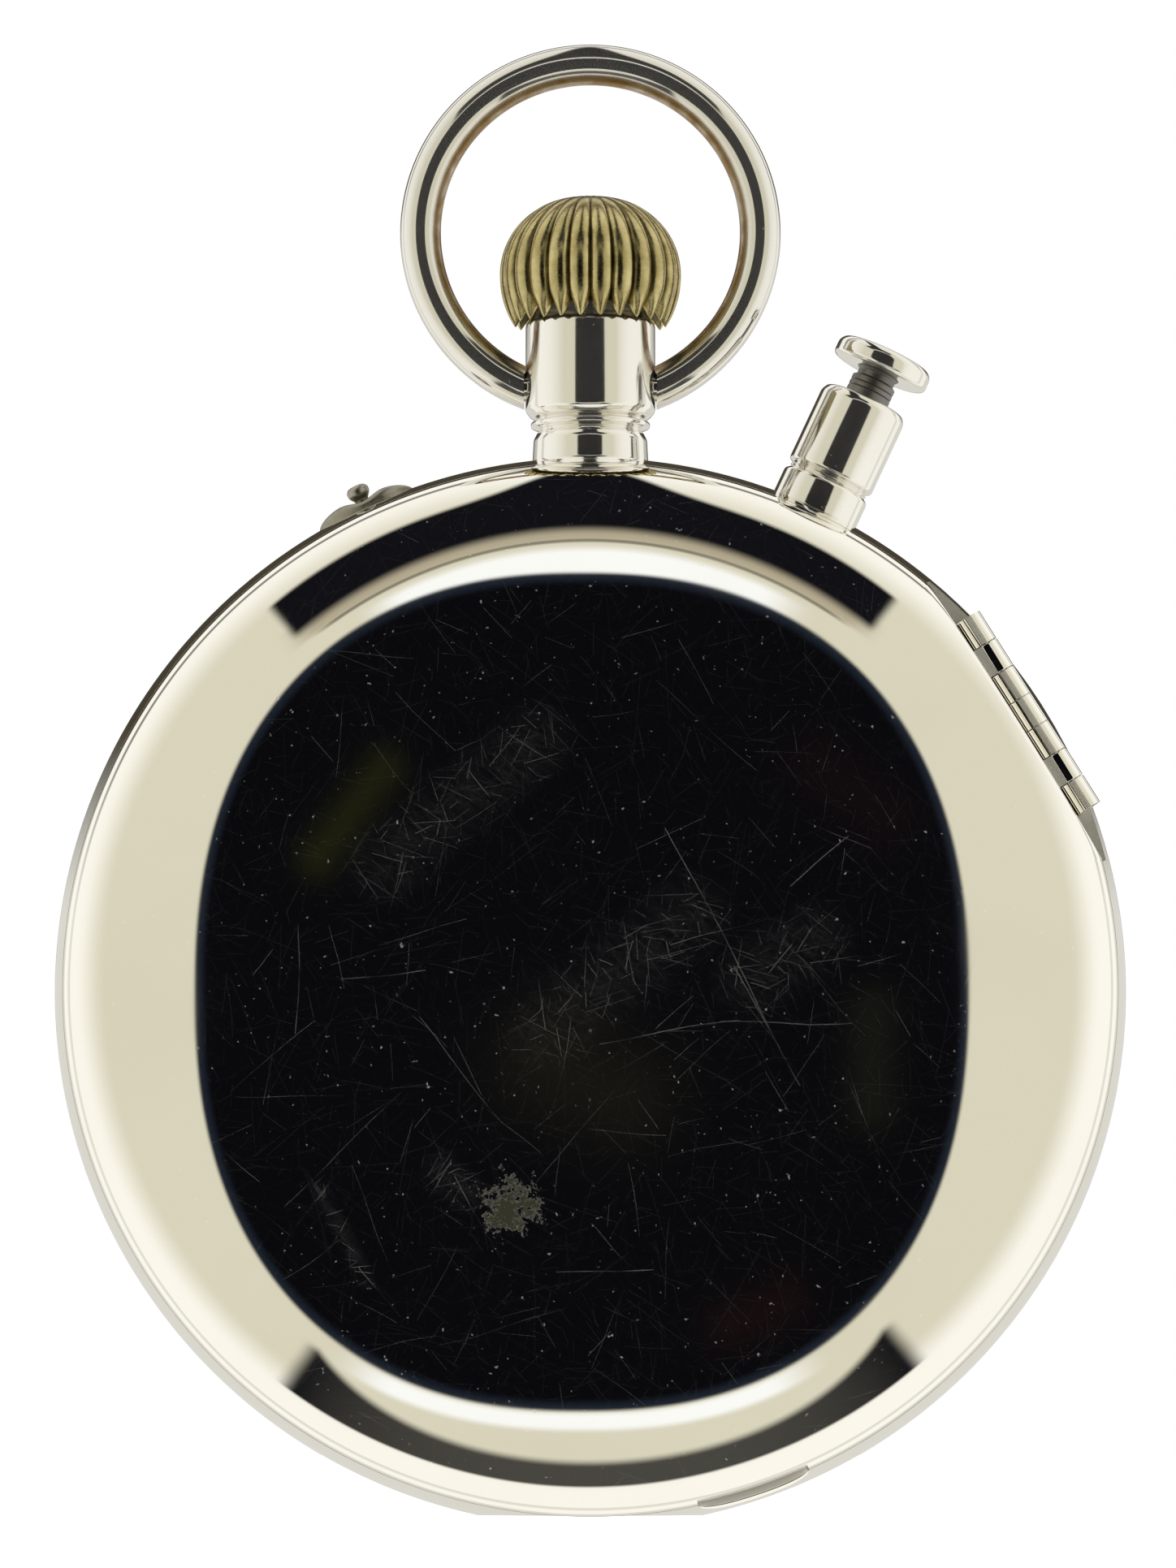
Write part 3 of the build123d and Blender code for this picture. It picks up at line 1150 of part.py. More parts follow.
fourth_wheel = train_piece(
    FOURTH,
    ((PIVOT, SMALL_HAND_Y, PIVOT_BACK), (STAFF, STAFF_FRONT, STAFF_BACK)),
    (FOURTH_TEETH, FOURTH_MODULE, bearing(FOURTH, ESCAPE), 9.8, 10.1),
    (FOURTH_PINION, THIRD_MODULE, facing_gap(FOURTH_PINION, FOURTH, THIRD), 10.6, 11.3),
)
save(fourth_wheel, "fourth_wheel")


# Escapement

IMPULSE_REACH = 1.3
BALANCE_RADIUS = 6.9
BALANCE_Y = 11.4
BALANCE_BACK = 12.0
FORK_Y = 9.1
FORK_BACK = 9.4
BALANCE_SCREWS = 14

with BuildPart() as escape_wheel:
    add(arbor(ESCAPE, (PIVOT, PIVOT_FRONT, PIVOT_BACK), (0.3, STAFF_FRONT, STAFF_BACK)))
    with BuildSketch(rear(FORK_Y)):
        with Locations(ESCAPE):
            corners = []
            root = ESCAPE_RADIUS - 0.75
            tooth_shape = ((-0.4, root), (-0.06, ESCAPE_RADIUS), (0.05, ESCAPE_RADIUS), (0.1, root))
            for tooth in range(ESCAPE_TEETH):
                for share, radius in tooth_shape:
                    angle = (tooth + share) * 2 * pi / ESCAPE_TEETH
                    corners.append((radius * sin(angle), radius * cos(angle)))
            Polygon(*corners, align=None)
            Circle(root - 0.45, mode=Mode.SUBTRACT)
            Circle(0.8)
            with PolarLocations(0, 4):
                Rectangle(0.35, 2.4, align=(Align.CENTER, Align.MIN))
    extrude(amount=FORK_BACK - FORK_Y)
    with BuildSketch(rear(9.6)):
        with Locations(ESCAPE):
            toothed(ESCAPE_PINION, FOURTH_MODULE, facing_gap(ESCAPE_PINION, ESCAPE, FOURTH))
    extrude(amount=0.7)
save(escape_wheel, "escape_wheel")

FORK_ANGLE = 90 - degrees(bearing(PALLET, BALANCE))
FORK_PLACE = Location((PALLET[0], PALLET[1], 0), (0, 0, FORK_ANGLE))

with BuildPart() as pallet_fork:
    add(arbor(PALLET, (PIVOT, PIVOT_FRONT, 10.5), (0.3, STAFF_FRONT, 9.85)))
    with BuildSketch(rear(FORK_Y)):
        with Locations(FORK_PLACE):
            Polygon((-0.3, -2.25), (-0.3, 2.25), (0.15, 2.25), (0.45, 0.3), (2.6, 0.18), (2.75, 0.95),
                    (3.2, 0.95), (3.2, 0.6), (2.95, 0.4), (2.95, -0.4), (3.2, -0.6), (3.2, -0.95),
                    (2.75, -0.95), (2.6, -0.18), (0.45, -0.3), (0.15, -2.25), align=None)
    extrude(amount=FORK_BACK - FORK_Y)
    with BuildSketch(rear(FORK_Y - 0.05)):
        with Locations(FORK_PLACE):
            for side in (-1, 1):
                with Locations((-0.5, side * 2.075)):
                    Rectangle(0.4, 0.35)
    extrude(amount=FORK_BACK - FORK_Y + 0.1)
save(pallet_fork, "pallet_fork")

with BuildPart() as balance_wheel:
    with BuildSketch(rear(BALANCE_Y)):
        with Locations(BALANCE):
            Circle(BALANCE_RADIUS)
            Circle(BALANCE_RADIUS - 0.8, mode=Mode.SUBTRACT)
            Circle(1.3)
            Rectangle(2 * BALANCE_RADIUS - 0.8, 1.1)
            Circle(0.9 + PRESSED, mode=Mode.SUBTRACT)
    extrude(amount=BALANCE_BACK - BALANCE_Y)
    for index in range(BALANCE_SCREWS):
        turn = (index + 0.5) * 2 * pi / BALANCE_SCREWS
        outward = Vector(-sin(turn), 0, cos(turn))
        middle = Vector(-BALANCE[0], (BALANCE_Y + BALANCE_BACK) / 2, BALANCE[1])
        foot = middle + outward * (BALANCE_RADIUS - 0.2)
        with BuildSketch(Plane(origin=foot, z_dir=outward)):
            Circle(0.26)
        extrude(amount=0.6)
save(balance_wheel, "balance_wheel")

with BuildPart() as balance_staff:
    add(arbor(BALANCE, (PIVOT, PIVOT_FRONT, 14.1), (0.35, STAFF_FRONT, 12.55), (1.7, 9.6, 9.85),
              (0.9, 11.2, 12.2), (0.7, 12.2, 12.5)))
    impulse_pin = (BALANCE[0] - IMPULSE_REACH * cos(radians(FORK_ANGLE)),
                   BALANCE[1] - IMPULSE_REACH * sin(radians(FORK_ANGLE)))
    add(arbor(impulse_pin, (0.2, 9.05, 9.6)))
save(balance_staff, "balance_staff")

with BuildPart() as hairspring:
    with BuildSketch(rear(12.25)):
        with Locations(BALANCE):
            spiral(0.8, 3.4, 9, 0.08)
    extrude(amount=0.2)
save(hairspring, "hairspring")


# Chronograph works

RUNNER_Y = 14.6
SPLIT_WHEEL_Y = 15.2
COLUMNS = 6
LEVER_Y = 9.9
LEVER_BACK = 10.7

with BuildPart() as chronograph_runner:
    add(arbor(CENTRE, (RUNNER_PIPE[1], CHRONOGRAPH_HAND_Y, 15.05), (1.0, 14.4, 15.05)))
    with BuildSketch(rear(RUNNER_Y)):
        toothed(RUNNER_TEETH, 2 * RUNNER_RADIUS / RUNNER_TEETH, 0, 5, 1.2, 0.7)
    extrude(amount=0.25)
    add(arbor(CENTRE, (RUNNER_PIPE[0], 2, 16)), mode=Mode.SUBTRACT)
save(chronograph_runner, "chronograph_runner")

with BuildPart() as split_wheel:
    add(arbor(CENTRE, (RUNNER_PIPE[0] - RUNNING, SPLIT_HAND_Y, 15.3), (0.8, 15.15, 15.6),
              (PIVOT, 15.6, 16.2)))
    with BuildSketch(rear(SPLIT_WHEEL_Y)):
        toothed(90, 0.1, 0, 4, 1.0, 0.6)
    extrude(amount=0.2)
save(split_wheel, "split_wheel")

with BuildPart() as column_wheel:
    add(arbor(COLUMN_WHEEL, (0.4, 7.9, 9.9), (1.3, 10.5, 14.0), (2.4, 14.0, 14.5)))
    with BuildSketch(rear(LEVER_Y)):
        with Locations(COLUMN_WHEEL):
            toothed(2 * COLUMNS, 0.4, 0)
    extrude(amount=0.6)
    with BuildSketch(rear(14.5)):
        with Locations(COLUMN_WHEEL):
            Circle(2.4)
            Circle(1.2, mode=Mode.SUBTRACT)
            with PolarLocations(0, COLUMNS):
                Rectangle(1.1, 3, align=(Align.CENTER, Align.MIN), mode=Mode.SUBTRACT)
    extrude(amount=1.1)
save(column_wheel, "column_wheel")


def lever(pivot, pad, tail, tail_radius):
    """A two-armed lever on a stud, with a round pad at one end and a beak at the other."""
    with BuildPart() as piece:
        with BuildSketch(rear(LEVER_Y)):
            link(pivot, pad, 1.5, 0.6)
            link(pivot, tail, 1.5, tail_radius)
            with Locations(pivot):
                Circle(STUD_RADIUS + RUNNING, mode=Mode.SUBTRACT)
        extrude(amount=LEVER_BACK - LEVER_Y)
    return piece


save(lever(CHRONOGRAPH_LEVER, (0, 21.5), (11.0, 15.4), 0.5), "chronograph_lever")
save(lever(SPLIT_LEVER, clock_spot(SPLIT_ANGLE, 26.7), (20.5, 13.0), 0.5), "split_lever")
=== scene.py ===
"""Studio scene of a large split-seconds chronograph watch, seen from behind.

Everything is in the CAD frame: +Z runs to the pendant at 12 o'clock and +Y out of the back. Lengths are
millimetres and angles are degrees unless a name says otherwise; meshes are scaled to metres. "Clock
angles" run clockwise from 12 as somebody sees them who looks at the back.
"""

import json
from math import cos, degrees, pi, radians, sin

import bmesh
import bpy
import numpy as np
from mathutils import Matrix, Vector


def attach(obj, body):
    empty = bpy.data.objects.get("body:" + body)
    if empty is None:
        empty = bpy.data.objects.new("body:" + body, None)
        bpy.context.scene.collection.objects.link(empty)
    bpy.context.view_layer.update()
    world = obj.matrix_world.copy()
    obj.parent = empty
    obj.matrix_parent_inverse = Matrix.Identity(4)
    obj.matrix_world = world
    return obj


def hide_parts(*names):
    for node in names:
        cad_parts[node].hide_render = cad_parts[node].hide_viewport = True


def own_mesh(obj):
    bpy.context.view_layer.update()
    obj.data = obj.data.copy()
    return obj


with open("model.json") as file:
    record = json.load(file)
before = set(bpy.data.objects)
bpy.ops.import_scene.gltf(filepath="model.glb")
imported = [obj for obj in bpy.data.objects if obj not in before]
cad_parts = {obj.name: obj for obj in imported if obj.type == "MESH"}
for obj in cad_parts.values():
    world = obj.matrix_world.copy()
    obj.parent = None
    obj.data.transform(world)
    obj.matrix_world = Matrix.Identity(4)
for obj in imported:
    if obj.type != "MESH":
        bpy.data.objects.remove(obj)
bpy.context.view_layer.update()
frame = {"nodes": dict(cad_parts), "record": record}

MM = 0.001

# Sizes shared with the CAD
MID_Y = 10.4
BACK_Y = 20.7
RIM_RADIUS = 32.5
COVER_FOOT = 14.25
SHEET = 0.8
HOLLOW_RADIUS = 31.35
HOLLOW_LOWEST = 15.2
HINGE_ANGLE = 58
HINGE_REACH = 31.85
HINGE_Y = 14.25
HINGE_TUBE = 0.85
PIN_RADIUS = 0.4
COVER_FLAT = 30.9
HOLLOW_FLAT = COVER_FLAT - 1.1
LIP_ANGLE = 162
BOW_CENTRE = 47.5
BOW_RADIUS = 10.64
BOW_WIRE = 1.275
BOW_PIVOT = 37.7
BOW_GAP = 4.15
SPLIT_ANGLE = 25
DIAL_Y = 4.6
DIAL_BACK = 5.4
DIAL_RADIUS = 27.3
SUBDIAL_Z = 13.5
SUBDIAL_RADIUS = 5.4
SUBDIAL_Y = 4.85

CASE_MIDDLE = np.array((0, MID_Y, 0))

SHARP_ANGLE = 32

# Camera, at the photograph's distance, a little below the watch's normal
CAMERA_DISTANCE = 450
CAMERA_DROP = 5
CAMERA_AIM = np.array((0.15, MID_Y, 12.83))
CAMERA_LENS = 166


# Meshes


def outward(angle):
    """Unit vector from the case's middle along a clock angle."""
    return np.array((-sin(radians(angle)), 0, cos(radians(angle))))


def grid_faces(rows, columns, wraps=True):
    """Quads between the points of a grid, row by row."""
    index = np.arange(rows * columns).reshape(rows, columns)
    if wraps:
        index = np.hstack((index, index[:, :1]))
    quads = np.stack((index[:-1, :-1], index[1:, :-1], index[1:, 1:], index[:-1, 1:]), -1)
    return quads.reshape(-1, 4)


def rounded(corners, radius):
    """An outline with each of its inner corners softened into a short curve."""
    corners = np.array(corners, float)
    points = [corners[0]]
    for before, corner, after in zip(corners, corners[1:], corners[2:]):
        arms = (before - corner, after - corner)
        lengths = [np.linalg.norm(arm) for arm in arms]
        cut = min(radius, 0.45 * min(lengths))
        start, end = (corner + arm / length * cut for arm, length in zip(arms, lengths))
        for step in np.linspace(0, 1, 6):
            points.append((1 - step) ** 2 * start + 2 * step * (1 - step) * corner + step**2 * end)
    points.append(corners[-1])
    return np.array(points)


def turned(outline, origin, axis, segments=160):
    """A mesh of an outline of (radius, distance) turned about a line through a place."""
    side = np.cross(axis, (0, 1, 0)) if abs(axis[1]) < 0.9 else np.array((1, 0, 0))
    across = np.cross(axis, side)
    turns = np.linspace(0, 2 * pi, segments, endpoint=False)[:, None]
    ring = np.cos(turns) * side + np.sin(turns) * across
    radii = outline[:, 0, None, None]
    along = outline[:, 1, None, None]
    points = np.array(origin) + along * axis + radii * ring
    return points.reshape(-1, 3), grid_faces(len(outline), segments)


def tube(origin, axis, start, end, radius, bore):
    """A hinge tube with softened ends."""
    middle = (start + end) / 2
    outline = ((bore, middle), (bore, start), (radius, start), (radius, end), (bore, end), (bore, middle))
    return turned(rounded(outline, 0.07), origin, axis, 64)


def block(corner, edges):
    """A box from one corner and three edge vectors."""
    steps = np.array([(i, j, k) for i in (0, 1) for j in (0, 1) for k in (0, 1)], float)
    faces = ((0, 1, 3, 2), (4, 6, 7, 5), (0, 4, 5, 1), (2, 3, 7, 6), (0, 2, 6, 4), (1, 5, 7, 3))
    return np.array(corner) + steps @ np.array(edges), np.array(faces)


def piece(name, meshes, material, body, slot, *nodes, sharp=SHARP_ANGLE, weld=True):
    """Joins meshes into one object that rides on a body and stands for CAD nodes."""
    points, faces, count = [], [], 0
    for mesh_points, mesh_faces in meshes:
        points.append(mesh_points * MM)
        faces += (mesh_faces + count).tolist()
        count += len(mesh_points)
    mesh = bpy.data.meshes.new(name)
    mesh.from_pydata(np.vstack(points), [], faces)
    work = bmesh.new()
    work.from_mesh(mesh)
    if weld:
        bmesh.ops.remove_doubles(work, verts=work.verts, dist=1e-6)
    bmesh.ops.recalc_face_normals(work, faces=work.faces)
    work.to_mesh(mesh)
    work.free()
    mesh.shade_smooth()
    mesh.set_sharp_from_angle(angle=radians(sharp))
    mesh.materials.append(material)
    made = bpy.data.objects.new(name, mesh)
    bpy.context.scene.collection.objects.link(made)
    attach(made, body)
    if nodes:
        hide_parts(*nodes)
    return made


# Shader nodes


def node(tree, kind, inputs=None, **settings):
    """Adds a shader node, with its settings, and fills or links its inputs by name or number."""
    made = tree.nodes.new("ShaderNode" + kind)
    for key, value in settings.items():
        setattr(made, key, value)
    for key, value in (inputs or {}).items():
        if isinstance(value, bpy.types.NodeSocket):
            tree.links.new(value, made.inputs[key])
        else:
            made.inputs[key].default_value = value
    return made


def calc(tree, operation, first, second=0.0, clamp=False):
    """Output of a Math node."""
    return node(tree, "Math", {0: first, 1: second}, operation=operation, use_clamp=clamp).outputs[0]


def vector_calc(tree, operation, first, second=(0, 0, 0)):
    """Output of a Vector Math node. The second value is a number for SCALE."""
    made = node(tree, "VectorMath", {0: first, 3 if operation == "SCALE" else 1: second}, operation=operation)
    return made.outputs["Value" if operation in ("LENGTH", "DOT_PRODUCT") else "Vector"]


def spread(tree, value, low, high, to_low=0.0, to_high=1.0):
    """A value mapped from one range to another and held inside it."""
    inputs = {"Value": value, "From Min": low, "From Max": high, "To Min": to_low, "To Max": to_high}
    return node(tree, "MapRange", inputs, clamp=True).outputs[0]


def blend_colours(tree, factor, first, second):
    """A mix of two colours or colour outputs."""
    mix = node(tree, "Mix", {0: factor}, data_type="RGBA")
    for place, colour in ((6, first), (7, second)):
        if isinstance(colour, bpy.types.NodeSocket):
            tree.links.new(colour, mix.inputs[place])
        else:
            mix.inputs[place].default_value = (*colour, 1)
    return mix.outputs[2]


def noise(tree, place, per_mm, detail=3.0, roughness=0.5, distortion=0.0, stretch=(1, 1, 1)):
    """Noise with a given number of features per millimetre, maybe stretched."""
    scaled = node(tree, "Mapping", {0: place, 3: tuple(per_mm / MM * s for s in stretch)}).outputs[0]
    inputs = {"Vector": scaled, "Scale": 1.0, "Detail": detail}
    inputs |= {"Roughness": roughness, "Distortion": distortion}
    return node(tree, "TexNoise", inputs).outputs[0]


def hairlines(tree, place, cell, width, share, offset):
    """Straight scratches at random angles, one at most in each cell, in the plane of the back.

    share is the part of the cells that have one, and offset tells apart layers of the same cell size.
    """
    flat = node(tree, "Mapping", {0: place, 1: (offset, 0, offset), 2: (pi / 2, 0, 0)}).outputs[0]
    scaled = vector_calc(tree, "SCALE", flat, 1 / (cell * MM))
    cells = node(tree, "TexVoronoi", {"Vector": scaled, "Scale": 1.0}, voronoi_dimensions="2D")
    away = vector_calc(tree, "SUBTRACT", scaled, cells.outputs["Position"])
    local = node(tree, "SeparateXYZ", {0: away}).outputs
    chance = node(tree, "SeparateColor", {0: cells.outputs["Color"]}).outputs
    turn = calc(tree, "MULTIPLY", chance[0], 2 * pi)
    across = calc(
        tree,
        "SUBTRACT",
        calc(tree, "MULTIPLY", local[0], calc(tree, "SINE", turn)),
        calc(tree, "MULTIPLY", local[1], calc(tree, "COSINE", turn)),
    )
    line = spread(tree, calc(tree, "ABSOLUTE", across), 0.3 * width / cell, width / cell, 1.0, 0.0)
    chosen = calc(tree, "LESS_THAN", chance[1], share)
    depth = spread(tree, calc(tree, "POWER", chance[2], DEEP_RARITY), 0.0, 1.0, 0.1, 1.0)
    return calc(tree, "MULTIPLY", line, calc(tree, "MULTIPLY", chosen, depth))


def finish_surface(tree, shader, colour, roughness, height, lift):
    """Links colour, roughness and a bump of a given height in millimetres."""
    tree.links.new(colour, shader.inputs["Base Color"])
    tree.links.new(roughness, shader.inputs["Roughness"])
    bump = node(tree, "Bump", {"Height": height, "Strength": 1.0, "Distance": lift * MM})
    tree.links.new(bump.outputs[0], shader.inputs["Normal"])


def blank_material(name, metallic=1.0):
    """A material with its shader, node tree and object coordinates."""
    material = bpy.data.materials.new(name)
    material.use_nodes = True
    tree = material.node_tree
    shader = tree.nodes["Principled BSDF"]
    shader.inputs["Metallic"].default_value = metallic
    place = node(tree, "TexCoord").outputs["Object"]
    return material, tree, shader, place


# Wear. Layers of hairlines have a cell size, a width, the share of cells with a line, and an offset in
# metres. The higher the rarity, the fewer scratches are deep.

DEEP_RARITY = 2.5
HAIRLINES = ((9.0, 0.024, 0.8, 0.0), (4.0, 0.020, 0.9, 0.0137), (1.9, 0.018, 0.6, 0.0291))
FINE_CELLS = ((4.2, 0.033), (3.1, 0.047), (2.6, 0.055), (2.0, 0.063), (1.4, 0.072), (0.9, 0.081))
FINE_HAIRLINES = [(cell, 0.022, 1.0, shift) for cell, shift in FINE_CELLS]
HAIRLINE_BEND = 1.4
SCRATCH_WIDTH = 0.045

# Marks of the back as seen in the photograph, at world x and z: the stain, soft rubbed bands with their
# half widths, and the longest scratches

TARNISH_SPOT = (4.7, -13.6)
TARNISH_RADIUS = 3.8
RUBBED_BANDS = (
    ((3.4, 14.6), (12.6, 7.0), 2.7),
    ((-6.0, 4.0), (2.6, -3.0), 2.9),
    ((-13.8, 2.6), (-9.6, 0.0), 2.6),
    ((9.0, -11.6), (7.6, -12.8), 1.5),
    ((16.4, -12.6), (13.6, -18.2), 0.7),
)
LONG_SCRATCHES = (
    ((-4.5, 9.3), (-11.7, -4.6)),
    ((-0.5, -3.8), (-9.0, -2.4)),
    ((-8.0, -2.5), (-16.1, -2.3)),
    ((-12.1, 5.9), (-15.7, 9.1)),
    ((15.2, 0.4), (10.2, 0.5)),
    ((17.6, 3.5), (17.8, -3.0)),
    ((2.0, -17.6), (-3.9, -17.4)),
    ((5.8, 15.5), (2.8, 13.5)),
    ((-8.6, 0.8), (-12.6, -6.0)),
)


def near(tree, place, x, z, radius):
    """A soft disc around a line along Y."""
    shifted = vector_calc(tree, "SUBTRACT", place, (x * MM, 0, z * MM))
    flat = vector_calc(tree, "MULTIPLY", shifted, (1, 0, 1))
    return spread(tree, vector_calc(tree, "LENGTH", flat), 0.0, radius * MM, 1.0, 0.0)


def near_line(tree, place, start, end, radius):
    """A soft band around a straight line between two places of the back."""
    first = np.array((start[0], 0, start[1])) * MM
    run = np.array((end[0], 0, end[1])) * MM - first
    length = float(np.linalg.norm(run))
    along = tuple(run / length)
    flat = vector_calc(tree, "MULTIPLY", vector_calc(tree, "SUBTRACT", place, tuple(first)), (1, 0, 1))
    held = spread(tree, vector_calc(tree, "DOT_PRODUCT", flat, along), 0.0, length, 0.0, length)
    away = vector_calc(tree, "SUBTRACT", flat, vector_calc(tree, "SCALE", along, held))
    return spread(tree, vector_calc(tree, "LENGTH", away), 0.0, radius * MM, 1.0, 0.0)


def most(tree, values):
    """The largest of several values."""
    largest = values[0]
    for value in values[1:]:
        largest = calc(tree, "MAXIMUM", largest, value)
    return largest


def bent(tree, place, reach_mm):
    """Coordinates pushed about a little, so that hairlines curve."""
    scaled = node(tree, "Mapping", {0: place, 3: (0.11 / MM, 0.11 / MM, 0.11 / MM)}).outputs[0]
    push = node(tree, "TexNoise", {"Vector": scaled, "Scale": 1.0, "Detail": 1.0}).outputs["Color"]
    centred = vector_calc(tree, "SUBTRACT", push, (0.5, 0.5, 0.5))
    return vector_calc(tree, "ADD", place, vector_calc(tree, "SCALE", centred, reach_mm * MM))


def silver(name, haze=0.02, tone=1.0, film=0.0, worn=False, brown_inside=None):
    """Polished nickel silver with hairlines and dust marks that scatter a little light.

    film is the share of light that dust and tarnish scatter everywhere. A worn piece has rubbed bands,
    long scratches and a stain too, and brown_inside is the radius within which the bow's inner side is
    painted brown: partly tarnish, partly a painted reflection of the brass crown inside the ring.
    """
    material, tree, shader, place = blank_material(name)
    curved = bent(tree, place, HAIRLINE_BEND)
    lines = most(tree, [hairlines(tree, curved, *layer) for layer in HAIRLINES])
    broken = spread(tree, noise(tree, place, 0.35, 3.0), 0.36, 0.62, 0.15, 1.0)
    scatter = calc(tree, "MULTIPLY", calc(tree, "MULTIPLY", lines, broken), 0.10)
    specks = spread(tree, noise(tree, place, 3.1, 1.0), 0.74, 0.8)
    scatter = calc(tree, "MAXIMUM", scatter, calc(tree, "MULTIPLY", specks, 0.2))
    cloud = spread(tree, noise(tree, place, 0.08, 4.0), 0.45, 0.75)
    roughness = spread(tree, cloud, 0.0, 1.0, haze, haze + 0.015)
    bright = [level * tone for level in (0.965, 0.945, 0.895)]
    dull = [level * tone for level in (0.945, 0.92, 0.86)]
    colour = blend_colours(tree, cloud, bright, dull)
    if worn:
        rubbed = most(tree, [near_line(tree, place, *band) for band in RUBBED_BANDS])
        scratches = most(tree, [near_line(tree, curved, *ends, SCRATCH_WIDTH) for ends in LONG_SCRATCHES])
        fine = most(tree, [hairlines(tree, curved, *layer) for layer in FINE_HAIRLINES])
        slanted = node(tree, "Mapping", {0: place, 2: (0, radians(-35), 0)}, vector_type="TEXTURE").outputs[0]
        brushed = spread(tree, noise(tree, slanted, 1.3, 6.0, 0.8, 0.6, (0.35, 1, 2.2)), 0.38, 0.75)
        veil = calc(tree, "MULTIPLY", spread(tree, rubbed, 0.0, 0.9), brushed)
        worn_lines = calc(tree, "MULTIPLY", fine, spread(tree, rubbed, 0.0, 0.7, 0.12, 1.0))
        added = [
            scatter,
            calc(tree, "MULTIPLY", worn_lines, 0.12),
            calc(tree, "MULTIPLY", scratches, calc(tree, "MULTIPLY", broken, 0.10)),
        ]
        scatter = calc(tree, "ADD", most(tree, added), calc(tree, "MULTIPLY", veil, 0.014))
        spot = calc(tree, "MULTIPLY", near(tree, place, *TARNISH_SPOT, TARNISH_RADIUS), 0.45)
        stain = spread(tree, calc(tree, "ADD", spot, noise(tree, place, 0.8, 6.0, 0.8)), 0.79, 0.82)
        colour = blend_colours(tree, stain, colour, (0.05, 0.05, 0.03))
        roughness = calc(tree, "ADD", roughness, calc(tree, "MULTIPLY", stain, 0.5))
        scatter = calc(tree, "MAXIMUM", scatter, calc(tree, "MULTIPLY", stain, 0.4))
    # Painted reflection with tarnish: the bow's inner side is painted brown, partly for tarnish and partly
    # for the brass crown that it mirrors.
    if brown_inside:
        middle = near(tree, place, 0, BOW_CENTRE, brown_inside)
        patches = spread(tree, noise(tree, place, 0.8, 4.0), 0.25, 0.6, 0.55, 1.0)
        brown = calc(tree, "MULTIPLY", spread(tree, middle, 0.0, 0.035), patches)
        colour = blend_colours(tree, brown, colour, (0.30, 0.19, 0.08))
        roughness = calc(tree, "ADD", roughness, calc(tree, "MULTIPLY", brown, 0.25))
    mirror = calc(tree, "SUBTRACT", 1.0 - film, scatter, clamp=True)
    tree.links.new(mirror, shader.inputs["Metallic"])
    finish_surface(tree, shader, colour, roughness, calc(tree, "MULTIPLY", scatter, -1.0), 0.0005)
    return material


def metal(name, colour, shade, base_roughness, grain, grain_mm, stretch=(1, 1, 1), bump=0.002, film=0.0):
    """A metal whose colour and roughness vary with a grain of a given size."""
    material, tree, shader, place = blank_material(name, 1 - film)
    fine = noise(tree, place, 1 / grain_mm, 3.0, 0.6, 0.0, stretch)
    patches = noise(tree, place, 0.25, 4.0)
    mixed = blend_colours(tree, spread(tree, patches, 0.35, 0.7), colour, shade)
    scratches = hairlines(tree, place, 1.1, 0.02, 0.5, 0.021)
    roughness = spread(tree, fine, 0.3, 0.7, base_roughness, base_roughness + grain)
    roughness = calc(tree, "ADD", roughness, calc(tree, "MULTIPLY", scratches, 0.2), clamp=True)
    finish_surface(tree, shader, mixed, roughness, fine, bump)
    return material


def matt_seats(material):
    """Makes a material's flat faces that look straight backwards or forwards matt, as from a lathe."""
    tree = material.node_tree
    shader = tree.nodes["Principled BSDF"]
    normal = node(tree, "NewGeometry").outputs["True Normal"]
    along = node(tree, "SeparateXYZ", {0: normal}).outputs[1]
    flat = calc(tree, "GREATER_THAN", calc(tree, "ABSOLUTE", along), 0.97)
    polish = shader.inputs["Roughness"].links[0].from_socket
    rough = calc(tree, "MAXIMUM", polish, calc(tree, "MULTIPLY", flat, 0.55))
    tree.links.new(rough, shader.inputs["Roughness"])
    return material


def striped_nickel():
    """Nickelled plates with broad arched stripes and fine cross grain."""
    material, tree, shader, place = blank_material("striped_nickel", 0.75)
    turned_place = node(tree, "Mapping", {0: place, 2: (0, radians(35), 0)}).outputs[0]
    across = node(tree, "SeparateXYZ", {0: turned_place}).outputs[0]
    stripe = calc(tree, "FRACT", calc(tree, "MULTIPLY", across, 1 / (2.2 * MM)))
    grain = noise(tree, turned_place, 9.0, 2.0, 0.6, 0.0, (1, 1, 0.06))
    shade = calc(tree, "MULTIPLY", stripe, spread(tree, grain, 0.3, 0.7, 0.75, 1.0))
    colour = blend_colours(tree, shade, (0.60, 0.58, 0.53), (0.86, 0.84, 0.79))
    roughness = spread(tree, grain, 0.3, 0.7, 0.36, 0.5)
    finish_surface(tree, shader, colour, roughness, calc(tree, "ADD", stripe, grain), 0.004)
    return material


